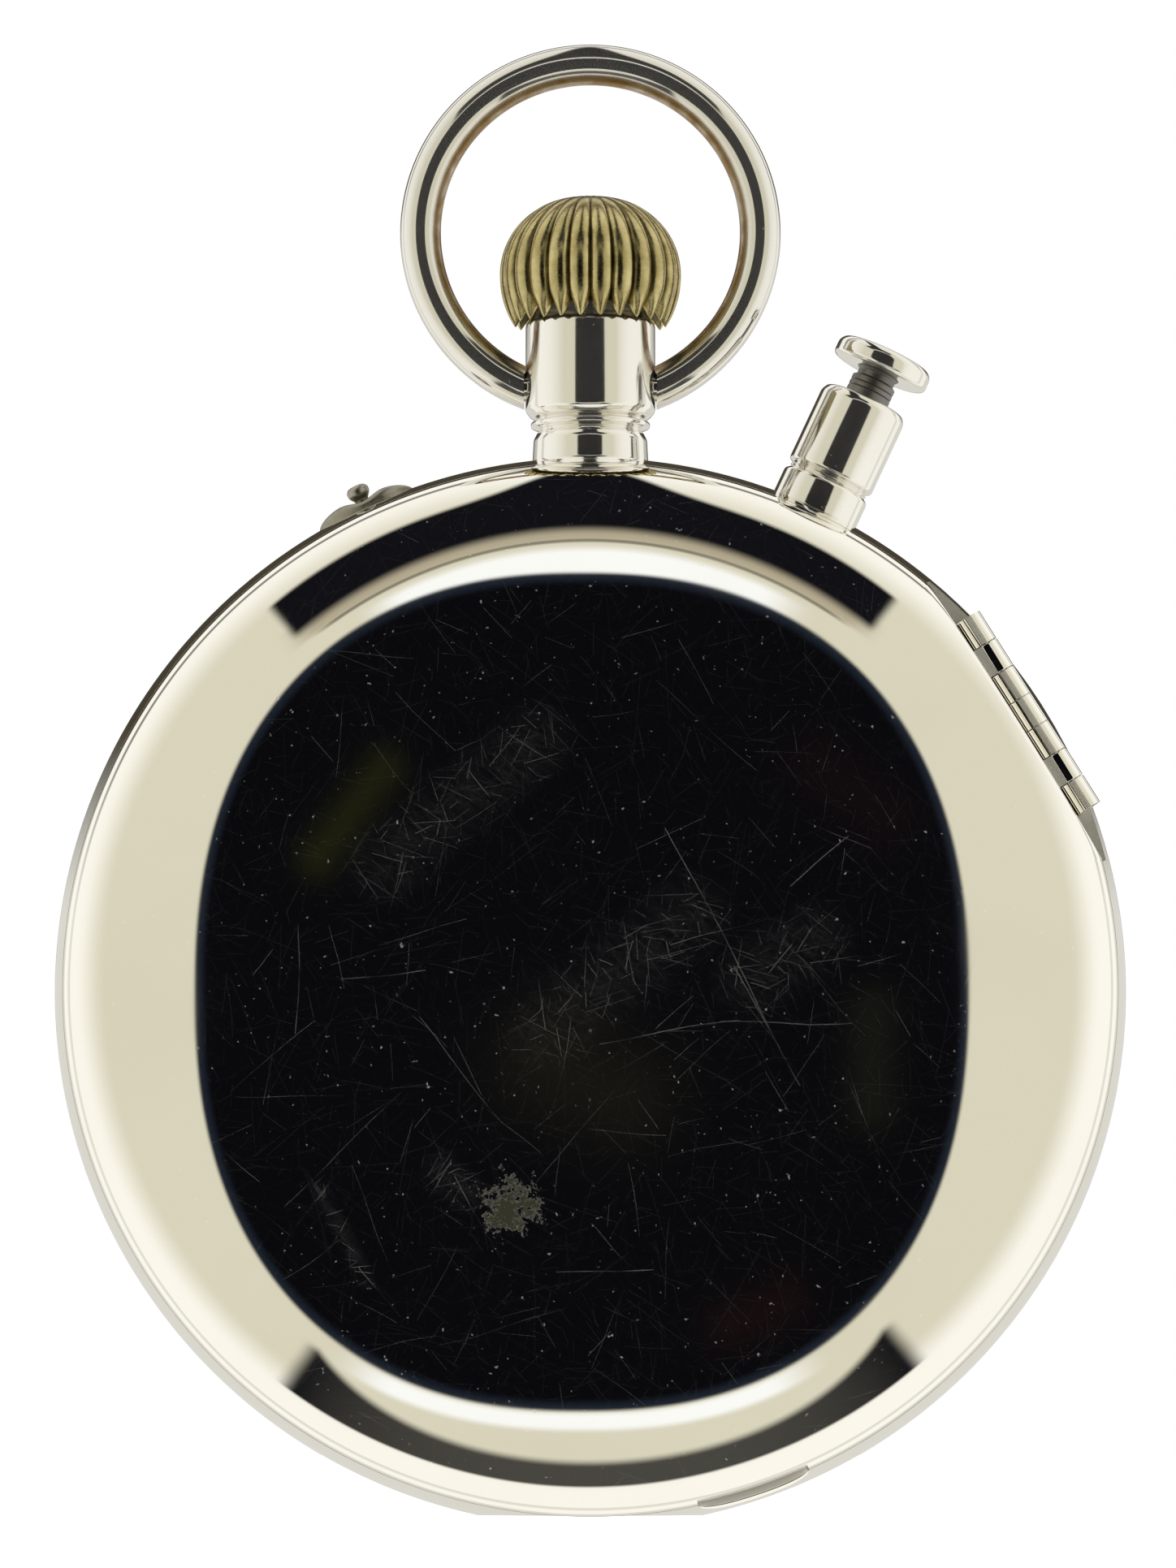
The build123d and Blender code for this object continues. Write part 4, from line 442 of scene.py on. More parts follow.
def crown_brass():
    """Worn gilt brass, bright on the ribs, with painted shade and a little dirt darkening the grooves and the
    underside.
    """
    material, tree, shader, place = blank_material("crown_brass")
    groove = node(tree, "Attribute", attribute_name="groove").outputs["Fac"]
    patches = spread(tree, noise(tree, place, 0.7, 5.0, 0.65), 0.35, 0.68)
    rib = blend_colours(tree, patches, (0.64, 0.55, 0.28), (0.40, 0.33, 0.14))
    # Painted shade: the deeper a point lies in a groove, the nearer to black it is painted; noise patches add
    # a little dirt.
    groove_shade_and_dirt = spread(tree, calc(tree, "ADD", groove, calc(tree, "MULTIPLY", patches, 0.2)), 0.78, 1.2)
    colour = blend_colours(tree, groove_shade_and_dirt, rib, (0.06, 0.045, 0.02))
    grain = noise(tree, place, 6.0, 4.0, 0.7)
    polish = spread(tree, grain, 0.3, 0.7, 0.18, 0.3)
    roughness = calc(tree, "ADD", polish, calc(tree, "MULTIPLY", groove_shade_and_dirt, 0.3))
    finish_surface(tree, shader, colour, roughness, calc(tree, "ADD", grain, patches), 0.006)
    return material


def enamel():
    """White fired enamel with a faint orange-peel surface and a few dark pin specks."""
    material, tree, shader, place = blank_material("dial_enamel", 0.0)
    cloud = noise(tree, place, 0.1, 3.0)
    specks = spread(tree, noise(tree, place, 3.0, 1.0), 0.79, 0.82)
    white = blend_colours(tree, cloud, (0.88, 0.87, 0.82), (0.82, 0.80, 0.74))
    colour = blend_colours(tree, specks, white, (0.25, 0.22, 0.18))
    shader.inputs["Coat Weight"].default_value = 0.6
    shader.inputs["Coat Roughness"].default_value = 0.03
    roughness = spread(tree, cloud, 0.3, 0.7, 0.1, 0.22)
    finish_surface(tree, shader, colour, roughness, noise(tree, place, 0.8, 2.0), 0.003)
    return material


def dial_print():
    """Black enamel paint with slightly uneven cover."""
    material, tree, shader, place = blank_material("dial_print", 0.0)
    cover = spread(tree, noise(tree, place, 8.0, 3.0), 0.35, 0.7)
    colour = blend_colours(tree, cover, (0.012, 0.012, 0.014), (0.035, 0.035, 0.04))
    finish_surface(tree, shader, colour, spread(tree, cover, 0.0, 1.0, 0.25, 0.4), cover, 0.002)
    return material


def clear(name, tint, tint_deep, index):
    """Glass or ruby: a clear body with faint surface wear."""
    material, tree, shader, place = blank_material(name, 0.0)
    wear = noise(tree, place, 0.6, 4.0)
    colour = blend_colours(tree, wear, tint, tint_deep)
    scratches = hairlines(tree, place, 3.0, 0.03, 0.5, 0.011)
    polish = spread(tree, wear, 0.5, 0.8, 0.0, 0.02)
    roughness = calc(tree, "ADD", polish, calc(tree, "MULTIPLY", scratches, 0.2))
    shader.inputs["Transmission Weight"].default_value = 1.0
    shader.inputs["IOR"].default_value = index
    finish_surface(tree, shader, colour, roughness, calc(tree, "MULTIPLY", scratches, -1.0), 0.001)
    return material


SILVER = matt_seats(silver("case_silver"))
SOFT_SILVER = silver("soft_silver", haze=0.09, tone=0.92, film=0.035)
BOW_SILVER = silver("bow_silver", haze=0.08, tone=0.85, film=0.06, brown_inside=BOW_RADIUS - 0.5 * BOW_WIRE)
OLD_SILVER = metal("old_silver", (0.42, 0.40, 0.34), (0.24, 0.22, 0.17), 0.24, 0.16, 0.3)
BACK_SILVER = silver("back_silver", worn=True)
CROWN_BRASS = crown_brass()
STEEL = metal("polished_steel", (0.62, 0.62, 0.63), (0.52, 0.52, 0.53), 0.22, 0.14, 0.25, film=0.2)
GREY_STEEL = metal("grey_steel", (0.34, 0.32, 0.31), (0.20, 0.19, 0.18), 0.3, 0.2, 0.12, (1, 1, 5), 0.006)
SPRING = metal("spring_steel", (0.32, 0.34, 0.38), (0.22, 0.24, 0.30), 0.2, 0.15, 0.3)
BLUED = metal("blued_steel", (0.035, 0.06, 0.24), (0.05, 0.04, 0.16), 0.14, 0.12, 0.2)
GILT = metal("gilt_brass", (0.83, 0.64, 0.30), (0.72, 0.52, 0.22), 0.3, 0.16, 0.12, bump=0.004, film=0.25)
TRAIN_BRASS = metal("train_brass", (0.80, 0.62, 0.29), (0.68, 0.50, 0.21), 0.26, 0.14, 0.15, film=0.25)
NICKEL = striped_nickel()
ENAMEL = enamel()
PRINT = dial_print()
GLASS = clear("crystal_glass", (0.985, 0.995, 0.99), (0.96, 0.98, 0.975), 1.5)
RUBY = clear("ruby", (0.75, 0.02, 0.09), (0.45, 0.01, 0.05), 1.76)

SLOT_MATERIALS = {
    "case_silver": SILVER,
    "crown_brass": CROWN_BRASS,
    "steel": STEEL,
    "grey_steel": GREY_STEEL,
    "spring_steel": SPRING,
    "blued_steel": BLUED,
    "gilt_brass": GILT,
    "train_brass": TRAIN_BRASS,
    "nickelled_plate": NICKEL,
    "crystal_glass": GLASS,
    "dial_enamel": ENAMEL,
    "ruby": RUBY,
}

for subpart in frame["record"]["subparts"]:
    cad_mesh = frame["nodes"][subpart["node"]].data
    cad_mesh.materials.clear()
    cad_mesh.materials.append(SLOT_MATERIALS[subpart["material_slot"]])
    cad_mesh.shade_smooth()
    cad_mesh.set_sharp_from_angle(angle=radians(SHARP_ANGLE))


# Back cover. The sine of the dome's slope runs through knots at distances from its middle, smoothed

STEP = 0.02
SLOPE_KNOTS = ((-24.0, -0.194), (24.0, 0.194), (28.0, 0.267), (30.5, 0.408), (32.5, 0.926), (34.5, 1.44))
SMOOTHING = 61
dome_reach = np.arange(-3.0, 34.5, STEP)
dome_sine = np.interp(dome_reach, *zip(*SLOPE_KNOTS))
dome_sine = np.convolve(dome_sine, np.ones(SMOOTHING) / SMOOTHING, "same")
inside = (dome_reach >= 0) & (dome_reach <= RIM_RADIUS + 0.01)
dome_reach = dome_reach[inside]
dome_sine = np.minimum(dome_sine[inside], 0.95)
dome_drop = np.cumsum(dome_sine / np.sqrt(1 - dome_sine**2)) * STEP


def dome_y(reach):
    """Height of the back's outer surface at a distance from its centre."""
    return BACK_Y - np.interp(reach, dome_reach, dome_drop)


def flat_limit(angles, radius, flat):
    """Radius at each clock angle of a disc cut by the hinge's flat."""
    away = np.cos(np.radians(angles - HINGE_ANGLE))
    return np.minimum(radius, flat / np.maximum(away, 0.05))


def shell(angles):
    """The domed sheet with its flat, its short rim and its hollow inside."""
    edge = flat_limit(angles, RIM_RADIUS, COVER_FLAT)
    hollow = flat_limit(angles, HOLLOW_RADIUS, HOLLOW_FLAT)
    rows = [(share * (edge - 0.1), None) for share in np.linspace(0, 1, 130) ** 0.85]
    rows += [(edge - 0.03, dome_y(edge) - 0.03), (edge, dome_y(edge) - 0.09), (edge, COVER_FOOT + 0.07)]
    rows += [(edge - 0.07, COVER_FOOT), (hollow + 0.05, COVER_FOOT), (hollow, COVER_FOOT + 0.05)]
    rows += [(hollow * share, "inside") for share in np.linspace(1, 0, 40)]
    points = []
    for radius, height in rows:
        if height is None:
            height = dome_y(radius)
        elif isinstance(height, str):
            height = np.maximum(dome_y(radius) - SHEET, HOLLOW_LOWEST)
        turn = np.radians(angles)
        points.append(np.stack((-radius * np.sin(turn), height + 0 * turn, radius * np.cos(turn)), -1))
    return np.vstack(points), grid_faces(len(rows), len(angles))


hinge_along = np.array((-cos(radians(HINGE_ANGLE)), 0, -sin(radians(HINGE_ANGLE))))
hinge_place = outward(HINGE_ANGLE) * HINGE_REACH + np.array((0, HINGE_Y, 0))
flat_half_angle = degrees(np.arccos(COVER_FLAT / RIM_RADIUS))
cover_angles = np.arange(0, 360, 0.5)
flat_ends = (HINGE_ANGLE - flat_half_angle, HINGE_ANGLE + flat_half_angle)
cover_angles = np.sort(np.append(cover_angles, flat_ends))
cover_meshes = [shell(cover_angles)]
web_meshes = []
for start, end in ((-4.97, -3.03), (3.03, 4.97)):
    cover_meshes.append(tube(hinge_place, hinge_along, start, end, HINGE_TUBE, PIN_RADIUS))
    web = outward(HINGE_ANGLE) * (COVER_FLAT - 0.2) + hinge_along * start + np.array((0, COVER_FOOT, 0))
    web_meshes.append(block(web, (outward(HINGE_ANGLE) * 0.9, hinge_along * (end - start), (0, SHEET, 0))))
piece("hinge_webs", web_meshes, SILVER, "back_cover", "case_silver")
piece("back_cover_shell", cover_meshes, BACK_SILVER, "back_cover", "case_silver", "back_cover")


def lip():
    """The thumb lip: a rounded nose that thins out towards its two ends."""
    angles = np.linspace(-6.3, 6.3, 41)
    swell = np.sqrt(np.maximum(0.0, 1 - (angles / 6.35) ** 4))
    turn = np.radians(LIP_ANGLE + angles)
    nose = ((-0.35, 0), (0.35, 0), (0.47, 0.08), (0.5, 0.25), (0.42, 0.48), (0.2, 0.6), (-0.35, 0.6))
    points = []
    for reach, height in nose:
        radius = RIM_RADIUS + np.where(reach > 0, reach * swell, reach)
        level = COVER_FOOT + height + 0 * turn
        points.append(np.stack((-radius * np.sin(turn), level, radius * np.cos(turn)), -1))
    return np.vstack(points), grid_faces(len(nose), len(angles), wraps=False)


piece("thumb_lip", [lip()], SILVER, "back_cover", "case_silver", sharp=60)


# Crown: round ribs that end in points above the pendant

CROWN_RIBS = 24
RIB_COLUMNS = 18
RIB_DEPTH = 0.55
CROWN_WAIST = 44.7
CROWN_RADIUS = 5.7
SKIRT_ARC = 5.53
TOP_ARC = 4.956
TIP_TOP = 43.6


def crown_rows():
    """Radius and height of the ribs' crests from their tips over the waist to the top."""
    skirt = np.radians(np.linspace(34.1, 0, 30))
    top = np.radians(np.linspace(0, 98, 56))[1:]
    skirt_middle, top_middle = CROWN_RADIUS - SKIRT_ARC, CROWN_RADIUS - TOP_ARC
    radius = np.concatenate((skirt_middle + SKIRT_ARC * np.cos(skirt), top_middle + TOP_ARC * np.cos(top)))
    height = np.concatenate((CROWN_WAIST - SKIRT_ARC * np.sin(skirt), CROWN_WAIST + TOP_ARC * np.sin(top)))
    return radius, height


def crown_mesh():
    """The ribbed shell and, for each point, how deep it lies in a groove."""
    radius, height = crown_rows()
    columns = CROWN_RIBS * RIB_COLUMNS
    turn = np.arange(columns) * 2 * pi / columns
    across = np.abs(2 * (np.arange(columns) % RIB_COLUMNS) / RIB_COLUMNS - 1)
    hollow = 1 - np.sqrt(1 - (0.97 * across) ** 2)
    near_tip = np.clip((TIP_TOP - height) / 2.0, 0, 1)[:, None]
    depth = RIB_DEPTH * (radius / CROWN_RADIUS)[:, None] * (1 + 1.2 * near_tip**2) * hollow
    reach = np.maximum(radius[:, None] - depth, 0.02)
    level = height[:, None] + 1.1 * near_tip**2 * across**1.6
    rows_reach = np.vstack((np.full(columns, 0.9), np.full(columns, 4.15), reach[0] * 0.985, reach))
    rows_level = np.vstack((np.full(columns, 42.95), np.full(columns, 42.9), level[0] + 0.05, level))
    points = np.stack((rows_reach * np.cos(turn), MID_Y + rows_reach * np.sin(turn), rows_level), -1)
    # The three underside rows count as deepest in a groove, so the crown's underside gets the full painted
    # shade.
    groove = np.vstack((np.ones((3, columns)), np.repeat(across[None], len(radius), 0)))
    return points.reshape(-1, 3), grid_faces(len(rows_reach), columns), groove.ravel()


crown_points, crown_faces, crown_groove = crown_mesh()
crown = piece("ribbed_crown", [(crown_points, crown_faces)], CROWN_BRASS, "crown", "crown_brass", "crown",
              sharp=70, weld=False)
groove_layer = crown.data.attributes.new("groove", "FLOAT", "POINT")
groove_layer.data.foreach_set("value", crown_groove.astype(np.float32))


# Pendant and bow

pendant_outline = rounded(
    ((2.0, 30.0), (3.2, 30.0), (3.2, 32.42), (3.98, 32.45), (3.62, 32.9), (3.55, 34.35), (3.35, 34.75),
     (3.2, 34.95), (3.72, 35.15), (3.72, 35.45), (3.3, 35.6), (3.75, 35.8), (4.05, 36.2), (4.05, 41.6),
     (3.9, 41.8), (2.0, 41.8), (2.0, 30.0)),
    0.14,
)
pendant_mesh = turned(pendant_outline, CASE_MIDDLE, outward(0), 256)
piece("pendant_barrel", [pendant_mesh], SOFT_SILVER, "case", "case_silver", "pendant")


def bow_mesh():
    """The round wire of the bow, cut flush with the pendant's sides."""
    limit = pi - np.arcsin(BOW_GAP / BOW_RADIUS)
    path = np.linspace(-limit, limit, 221)
    around = np.linspace(0, 2 * pi, 56, endpoint=False)
    radius = BOW_RADIUS + BOW_WIRE * np.cos(around)
    points = np.stack(
        (
            np.sin(path)[:, None] * radius,
            MID_Y + np.broadcast_to(BOW_WIRE * np.sin(around), (len(path), len(around))),
            BOW_CENTRE + np.cos(path)[:, None] * radius,
        ),
        -1,
    )
    for row, side in ((0, -1), (-1, 1)):
        along = np.array((cos(path[row]), 0, -sin(path[row])))
        points[row] += ((side * BOW_GAP - points[row][:, 0]) / along[0])[:, None] * along
    caps = [np.repeat(points[row].mean(0)[None], len(around), 0) for row in (0, -1)]
    points = np.concatenate((caps[0][None], points, caps[1][None]))
    return points.reshape(-1, 3), grid_faces(len(path) + 2, len(around))


bow_pin_outline = np.array(((0, 2.9), (0.9, 2.9), (0.9, 4.4), (0, 4.4)))
bow_pins = [turned(bow_pin_outline, (0, MID_Y, BOW_PIVOT), np.array((side, 0, 0)), 48) for side in (-1, 1)]
piece("bow_ring", [bow_mesh(), *bow_pins], BOW_SILVER, "bow", "case_silver", "bow")


# Split push-piece and its barrel

split_out = outward(SPLIT_ANGLE)
barrel_outline = rounded(
    ((0.85, 30.0), (2.0, 30.0), (2.0, 32.76), (2.8, 32.8), (2.8, 34.75), (2.55, 34.95), (2.4, 35.05),
     (2.62, 35.15), (2.35, 35.25), (2.8, 35.45), (2.8, 40.2), (2.6, 40.6), (2.3, 40.7), (1.47, 40.7),
     (1.47, 34.2), (0.85, 34.2), (0.85, 30.0)),
    0.16,
)
barrel_mesh = turned(barrel_outline, CASE_MIDDLE, split_out, 224)
piece("split_barrel", [barrel_mesh], SOFT_SILVER, "case", "case_silver", "split_pusher_barrel")
stem_outline = rounded(
    ((0, 27.6), (0.8, 27.6), (0.8, 39.0), (1.42, 39.0), (1.42, 41.2), (1.34, 41.25), (1.42, 41.3),
     (1.42, 41.55), (1.34, 41.6), (1.42, 41.65), (1.42, 41.95), (1.22, 42.1), (1.22, 42.4), (1.4, 42.58),
     (0, 42.6)),
    0.03,
)
stem_mesh = turned(stem_outline, CASE_MIDDLE, split_out, 128)
piece("split_stem", [stem_mesh], GREY_STEEL, "split_pusher", "grey_steel", "split_pusher")
cap_outline = rounded(
    ((0, 42.58), (2.85, 42.6), (3.1, 42.78), (3.1, 43.55), (2.85, 43.88), (1.6, 44.02), (0, 44.05)),
    0.2,
)
cap_mesh = turned(cap_outline, CASE_MIDDLE, split_out, 224)
piece("split_cap", [cap_mesh], SOFT_SILVER, "split_pusher", "case_silver")


# Setting pin and its guard

SET_PIN_ANGLE = -25
GUARD_SEAT = 32.9
GUARD_HALF_LENGTH = 3.25
GUARD_HALF_WIDTH = 1.5
GUARD_RISE = 1.1
pin_out = outward(SET_PIN_ANGLE)
pin_along = np.array((pin_out[2], 0, -pin_out[0]))


def guard_mesh():
    """Two rounded cheeks that thin out to points and dip around the pin between them."""
    along = np.linspace(-1, 1, 81)[:, None]
    across = np.sin(np.linspace(-1, 1, 33) * pi / 2)[None, :]
    half_width = GUARD_HALF_WIDTH * (1 - along**2)
    dip = 1 - 0.75 * np.exp(-((along * GUARD_HALF_LENGTH / 0.85) ** 2) - (across * half_width / 1.1) ** 2)
    rise = GUARD_RISE * np.sqrt(1 - np.abs(along) ** 2.4) * np.sqrt(np.maximum(1 - across**4, 0)) * dip
    top = (
        pin_out * (GUARD_SEAT + rise[..., None])
        + pin_along * (along * GUARD_HALF_LENGTH + 0 * across)[..., None]
        + np.array((0, 1, 0)) * (half_width * across)[..., None]
    )
    foot = top - pin_out * rise[..., None] - pin_out * 0.02
    points = np.concatenate((top, foot[:, ::-1]), 1) + CASE_MIDDLE
    return points.reshape(-1, 3), grid_faces(points.shape[0], points.shape[1])


piece("pin_guard", [guard_mesh()], OLD_SILVER, "case", "case_silver", "set_pin_guard", sharp=50)
pin_outline = rounded(
    ((0, 28.2), (0.45, 28.2), (0.45, 31.6), (0.93, 31.6), (0.93, 32.1), (0.45, 32.1), (0.42, 33.8),
     (0.7, 34.15), (0.72, 34.5), (0.5, 34.72), (0, 34.76)),
    0.12,
)
pin_mesh = turned(pin_outline, CASE_MIDDLE, pin_out, 64)
piece("setting_pin", [pin_mesh], OLD_SILVER, "set_pin", "grey_steel", "set_pin")


# Return springs. Each row has the node, the joint, the clock angle, the coil's radius and the wire's, the
# distances of its ends, its turns and the joint's travel

WIRE_SIDES = 12
SPRINGS = (
    ("crown_spring", "crown_push", 0, 1.42, 0.2, 35.0, 39.0, 5, 0.75),
    ("split_pusher_spring", "split_push", SPLIT_ANGLE, 1.14, 0.2, 34.2, 39.0, 7, 1.2),
    ("set_pin_spring", "set_pin_push", SET_PIN_ANGLE, 0.74, 0.12, 29.9, 31.6, 4, 0.6),
)


def spring_mesh(angle, radius, wire, foot, top, turns):
    """A coil of round wire about a spoke, between two distances from the case's middle."""
    out = outward(angle)
    side = np.array((0, 1, 0))
    turn = np.linspace(0, 2 * pi * turns, 32 * turns + 1)[:, None]
    ring = np.cos(turn) * side + np.sin(turn) * np.cross(out, side)
    along = np.interp(turn, (0, 2 * pi * turns), (foot + wire, top - wire))
    line = CASE_MIDDLE + along * out + radius * ring
    around = np.linspace(0, 2 * pi, WIRE_SIDES, endpoint=False)[None, :, None]
    points = line[:, None] + wire * (np.cos(around) * ring[:, None] + np.sin(around) * out)
    ends = [np.repeat(line[row][None, None], WIRE_SIDES, 1) for row in (0, -1)]
    points = np.concatenate((ends[0], points, ends[1]))
    return points.reshape(-1, 3), grid_faces(len(points), WIRE_SIDES)


for spring_node, joint, angle, radius, wire, foot, top, turns, travel in SPRINGS:
    coil = spring_mesh(angle, radius, wire, foot, top, turns)
    spring = piece(spring_node + "_coil", [coil], SPRING, "case", "spring_steel", spring_node, sharp=60)
    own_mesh(spring)


# Dial

DIAL_AXIS = np.array((0, -1, 0))


def front_spot(angle, reach, centre_z=0.0):
    """World x and z at an angle that runs clockwise as seen from the front."""
    return reach * sin(radians(angle)), centre_z + reach * cos(radians(angle))


def disc_with_wells():
    """The dial's face: a disc grid that steps down into two sub-dials."""
    step = 0.15
    line = np.arange(-DIAL_RADIUS, DIAL_RADIUS + step, step)
    x, z = np.meshgrid(line, line)
    reach = np.hypot(x, z)
    squeeze = np.where(reach > DIAL_RADIUS, DIAL_RADIUS / np.maximum(reach, 1), 1)
    x, z = x * squeeze, z * squeeze
    well = np.minimum(np.hypot(x, z - SUBDIAL_Z), np.hypot(x, z + SUBDIAL_Z))
    fall = np.clip((SUBDIAL_RADIUS + 0.1 - well) / 0.3, 0, 1)
    edge = np.clip((reach - DIAL_RADIUS + 0.4) / 0.4, 0, 1)
    y = DIAL_Y + (SUBDIAL_Y - DIAL_Y) * fall + 0.15 * edge**2
    points = np.stack((x, y, z), -1).reshape(-1, 3)
    return points, grid_faces(len(line), len(line), wraps=False)


dial_rim = rounded(
    ((DIAL_RADIUS - 0.3, -DIAL_Y - 0.14), (DIAL_RADIUS, -DIAL_Y - 0.2), (DIAL_RADIUS, -DIAL_BACK),
     (0.5, -DIAL_BACK)),
    0.1,
)
dial_meshes = [disc_with_wells(), turned(dial_rim, (0, 0, 0), DIAL_AXIS, 256)]
foot_outline = np.array(((0, 0), (0.5, 0), (0.5, 3.0), (0, 3.0)))
for angle in (45, 165, 285):
    foot_place = 22.0 * outward(angle) + np.array((0, DIAL_BACK, 0))
    dial_meshes.append(turned(foot_outline, foot_place, -DIAL_AXIS, 32))
piece("dial_face", dial_meshes, ENAMEL, "case", "dial_enamel", "dial", sharp=50)


PAINT = 0.012


def mark(angle, inner, outer, width, depth, centre_z=0.0):
    """A painted stroke of a dial track, from one radius to another."""
    along = np.array((sin(radians(angle)), 0, cos(radians(angle))))
    across = np.array((along[2], 0, -along[0]))
    start = along * inner - across * width / 2 + np.array((0, depth, centre_z))
    return block(start, (along * (outer - inner), across * width, (0, -PAINT, 0)))


def circle(radius, width, depth, centre_z=0.0):
    """A painted circle of a dial track."""
    outer, top = radius + width, PAINT - depth
    outline = np.array(((radius, -depth), (radius, top), (outer, top), (outer, -depth)))
    return turned(outline, (0, 0, centre_z), DIAL_AXIS, 240)


PRINT_Y = DIAL_Y - 0.002
SUB_PRINT_Y = SUBDIAL_Y - 0.002
dial_marks = [circle(25.0, 0.06, PRINT_Y), circle(26.2, 0.06, PRINT_Y)]
for fifth in range(300):
    angle = fifth * 1.2
    if fifth % 25 == 0:
        dial_marks.append(mark(angle, 24.6, 26.25, 0.34, PRINT_Y))
    elif fifth % 5 == 0:
        dial_marks.append(mark(angle, 25.0, 26.25, 0.13, PRINT_Y))
    else:
        dial_marks.append(mark(angle, 25.55, 26.2, 0.05, PRINT_Y))
for centre_z, count in ((-SUBDIAL_Z, 60), (SUBDIAL_Z, 30)):
    dial_marks += [circle(4.2, 0.05, SUB_PRINT_Y, centre_z), circle(4.95, 0.05, SUB_PRINT_Y, centre_z)]
    for index in range(count):
        inner, width = (4.25, 0.06) if index % 5 else (4.0, 0.12)
        dial_marks.append(mark(index * 360 / count, inner, 4.97, width, SUB_PRINT_Y, centre_z))
piece("dial_tracks", dial_marks, PRINT, "case", "dial_enamel", weld=False)


def numeral(name, text, x, z, size, depth):
    """A painted dial number that faces the front."""
    curve = bpy.data.curves.new(name, "FONT")
    curve.body = text
    curve.size = size * MM
    curve.extrude = PAINT / 2 * MM
    curve.align_x = "CENTER"
    curve.align_y = "CENTER"
    source = bpy.data.objects.new(name + "_outline", curve)
    bpy.context.scene.collection.objects.link(source)
    bpy.context.view_layer.update()
    mesh = bpy.data.meshes.new_from_object(source.evaluated_get(bpy.context.evaluated_depsgraph_get()))
    bpy.data.objects.remove(source)
    points = np.zeros(len(mesh.vertices) * 3)
    mesh.vertices.foreach_get("co", points)
    points = points.reshape(-1, 3)
    placed = np.stack((points[:, 0] + x * MM, depth * MM - points[:, 2], points[:, 1] + z * MM), -1)
    mesh.vertices.foreach_set("co", placed.ravel())
    mesh.materials.clear()
    mesh.materials.append(PRINT)
    made = bpy.data.objects.new(name, mesh)
    bpy.context.scene.collection.objects.link(made)
    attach(made, "case")


# Each row has a name, the numbers, the degrees of one unit, the radius, the middle's z, the size and the y

NUMERALS = (
    ("hour", (1, 2, 3, 4, 5, 7, 8, 9, 10, 11), 30, 21.3, 0.0, 6.2, PRINT_Y - PAINT / 2),
    ("outer", range(5, 65, 5), 6, 26.75, 0.0, 0.85, DIAL_Y + 0.02),
    ("seconds", (15, 30, 45, 60), 6, 3.15, -SUBDIAL_Z, 1.5, SUB_PRINT_Y - PAINT / 2),
    ("recorder", range(5, 35, 5), 12, 3.2, SUBDIAL_Z, 1.3, SUB_PRINT_Y - PAINT / 2),
)
for kind, numbers, unit, reach, centre_z, size, depth in NUMERALS:
    for number in numbers:
        numeral(f"{kind}_{number}", str(number), *front_spot(number * unit, reach, centre_z), size, depth)


# Studio: a light tent whose panels are laid out by where the camera sees them in the domed back. Places are
# in picture millimetres from the back's middle. A glow has two ends, a size and a colour.

TENT_RADIUS = 1000
TENT_ROWS = 1151
TENT_COLUMNS = 1080
ROW_SHARES = (0, 0.12, 0.75, 1)
ROW_ANGLES = (0.03, 15, 60, 179.97)
BLACK = np.array((0.0030, 0.0030, 0.0042))
BLUE_EDGE = np.array((0.011, 0.016, 0.027))
CREAM = np.array((0.715, 0.69, 0.555))
RIM_CREAM = np.array((1.0, 0.985, 0.93))
OLIVE = np.array((0.46, 0.41, 0.30))
WHITE = np.array((1.0, 1.02, 1.03))
GREY = np.array((0.068, 0.066, 0.058))
# The next two colours are painted reflections: the back mirrors them as dark lines at its rim and beside the
# olive band.
DARK_RIM_REFLECTION = np.array((0.06, 0.05, 0.035))
DARK_SEAM_REFLECTION = np.array((0.09, 0.075, 0.045))
GLOWS = (
    ((-16.4, 7.4), (-12.4, 12.8), 1.3, (0.009, 0.0095, 0.001)),
    ((-2.5, -5.2), (2.0, -7.0), 3.4, (0.0055, 0.0050, 0.0020)),
    ((17.3, -2.0), (17.2, -7.6), 1.6, (0.0050, 0.0052, 0.0020)),
    ((14.0, 13.0), (18.0, 10.0), 2.0, (0.0028, 0.0008, 0.0008)),
    ((8.5, -21.0), (12.0, -19.5), 1.6, (0.0050, 0.0014, 0.0008)),
)
WINDOW_MIDDLE = (-0.38, -0.73)
WINDOW_SIZE = (23.5, 25.45)
WINDOW_POWER = 2.34

# Spans of the pale rim, its two dark lines (by slope), the olive band, the seam line beside it, and the
# flags.
# The rim's two dark lines and the seam line are painted reflections.

RIM_FADE = (29.3, 31.2)
RIM_LINE = (0.79, 0.83)
EDGE_LINE = (0.9, 0.92)
OLIVE_BAND = (26.75, 28.0)
SEAM_REFLECTION_BAND = (26.58, 26.78)
BRIGHT_BAND = (1.005, 1.045)
HIGH_FLAG_FOOT = (27.0, 27.7)
HIGH_FLAG_TOP = 29.75
LOW_FLAG_FOOT = 29.0
LOW_FLAG_TOP = (30.7, 30.9)

camera_back = np.array((0, cos(radians(CAMERA_DROP)), -sin(radians(CAMERA_DROP))))
camera_up = np.array((0, sin(radians(CAMERA_DROP)), cos(radians(CAMERA_DROP))))
camera_place = CAMERA_AIM + camera_back * CAMERA_DISTANCE


def in_picture(spots):
    """Places as the camera sees them: millimetres to the right of and above the back's middle."""
    apex = np.array((0, BACK_Y, 0))
    scale = (camera_place - apex) @ camera_back
    sight = spots - camera_place
    depth = -sight @ camera_back
    middle = (apex - camera_place) @ camera_up
    return -sight[:, 0] * scale / depth, sight @ camera_up * scale / depth - middle


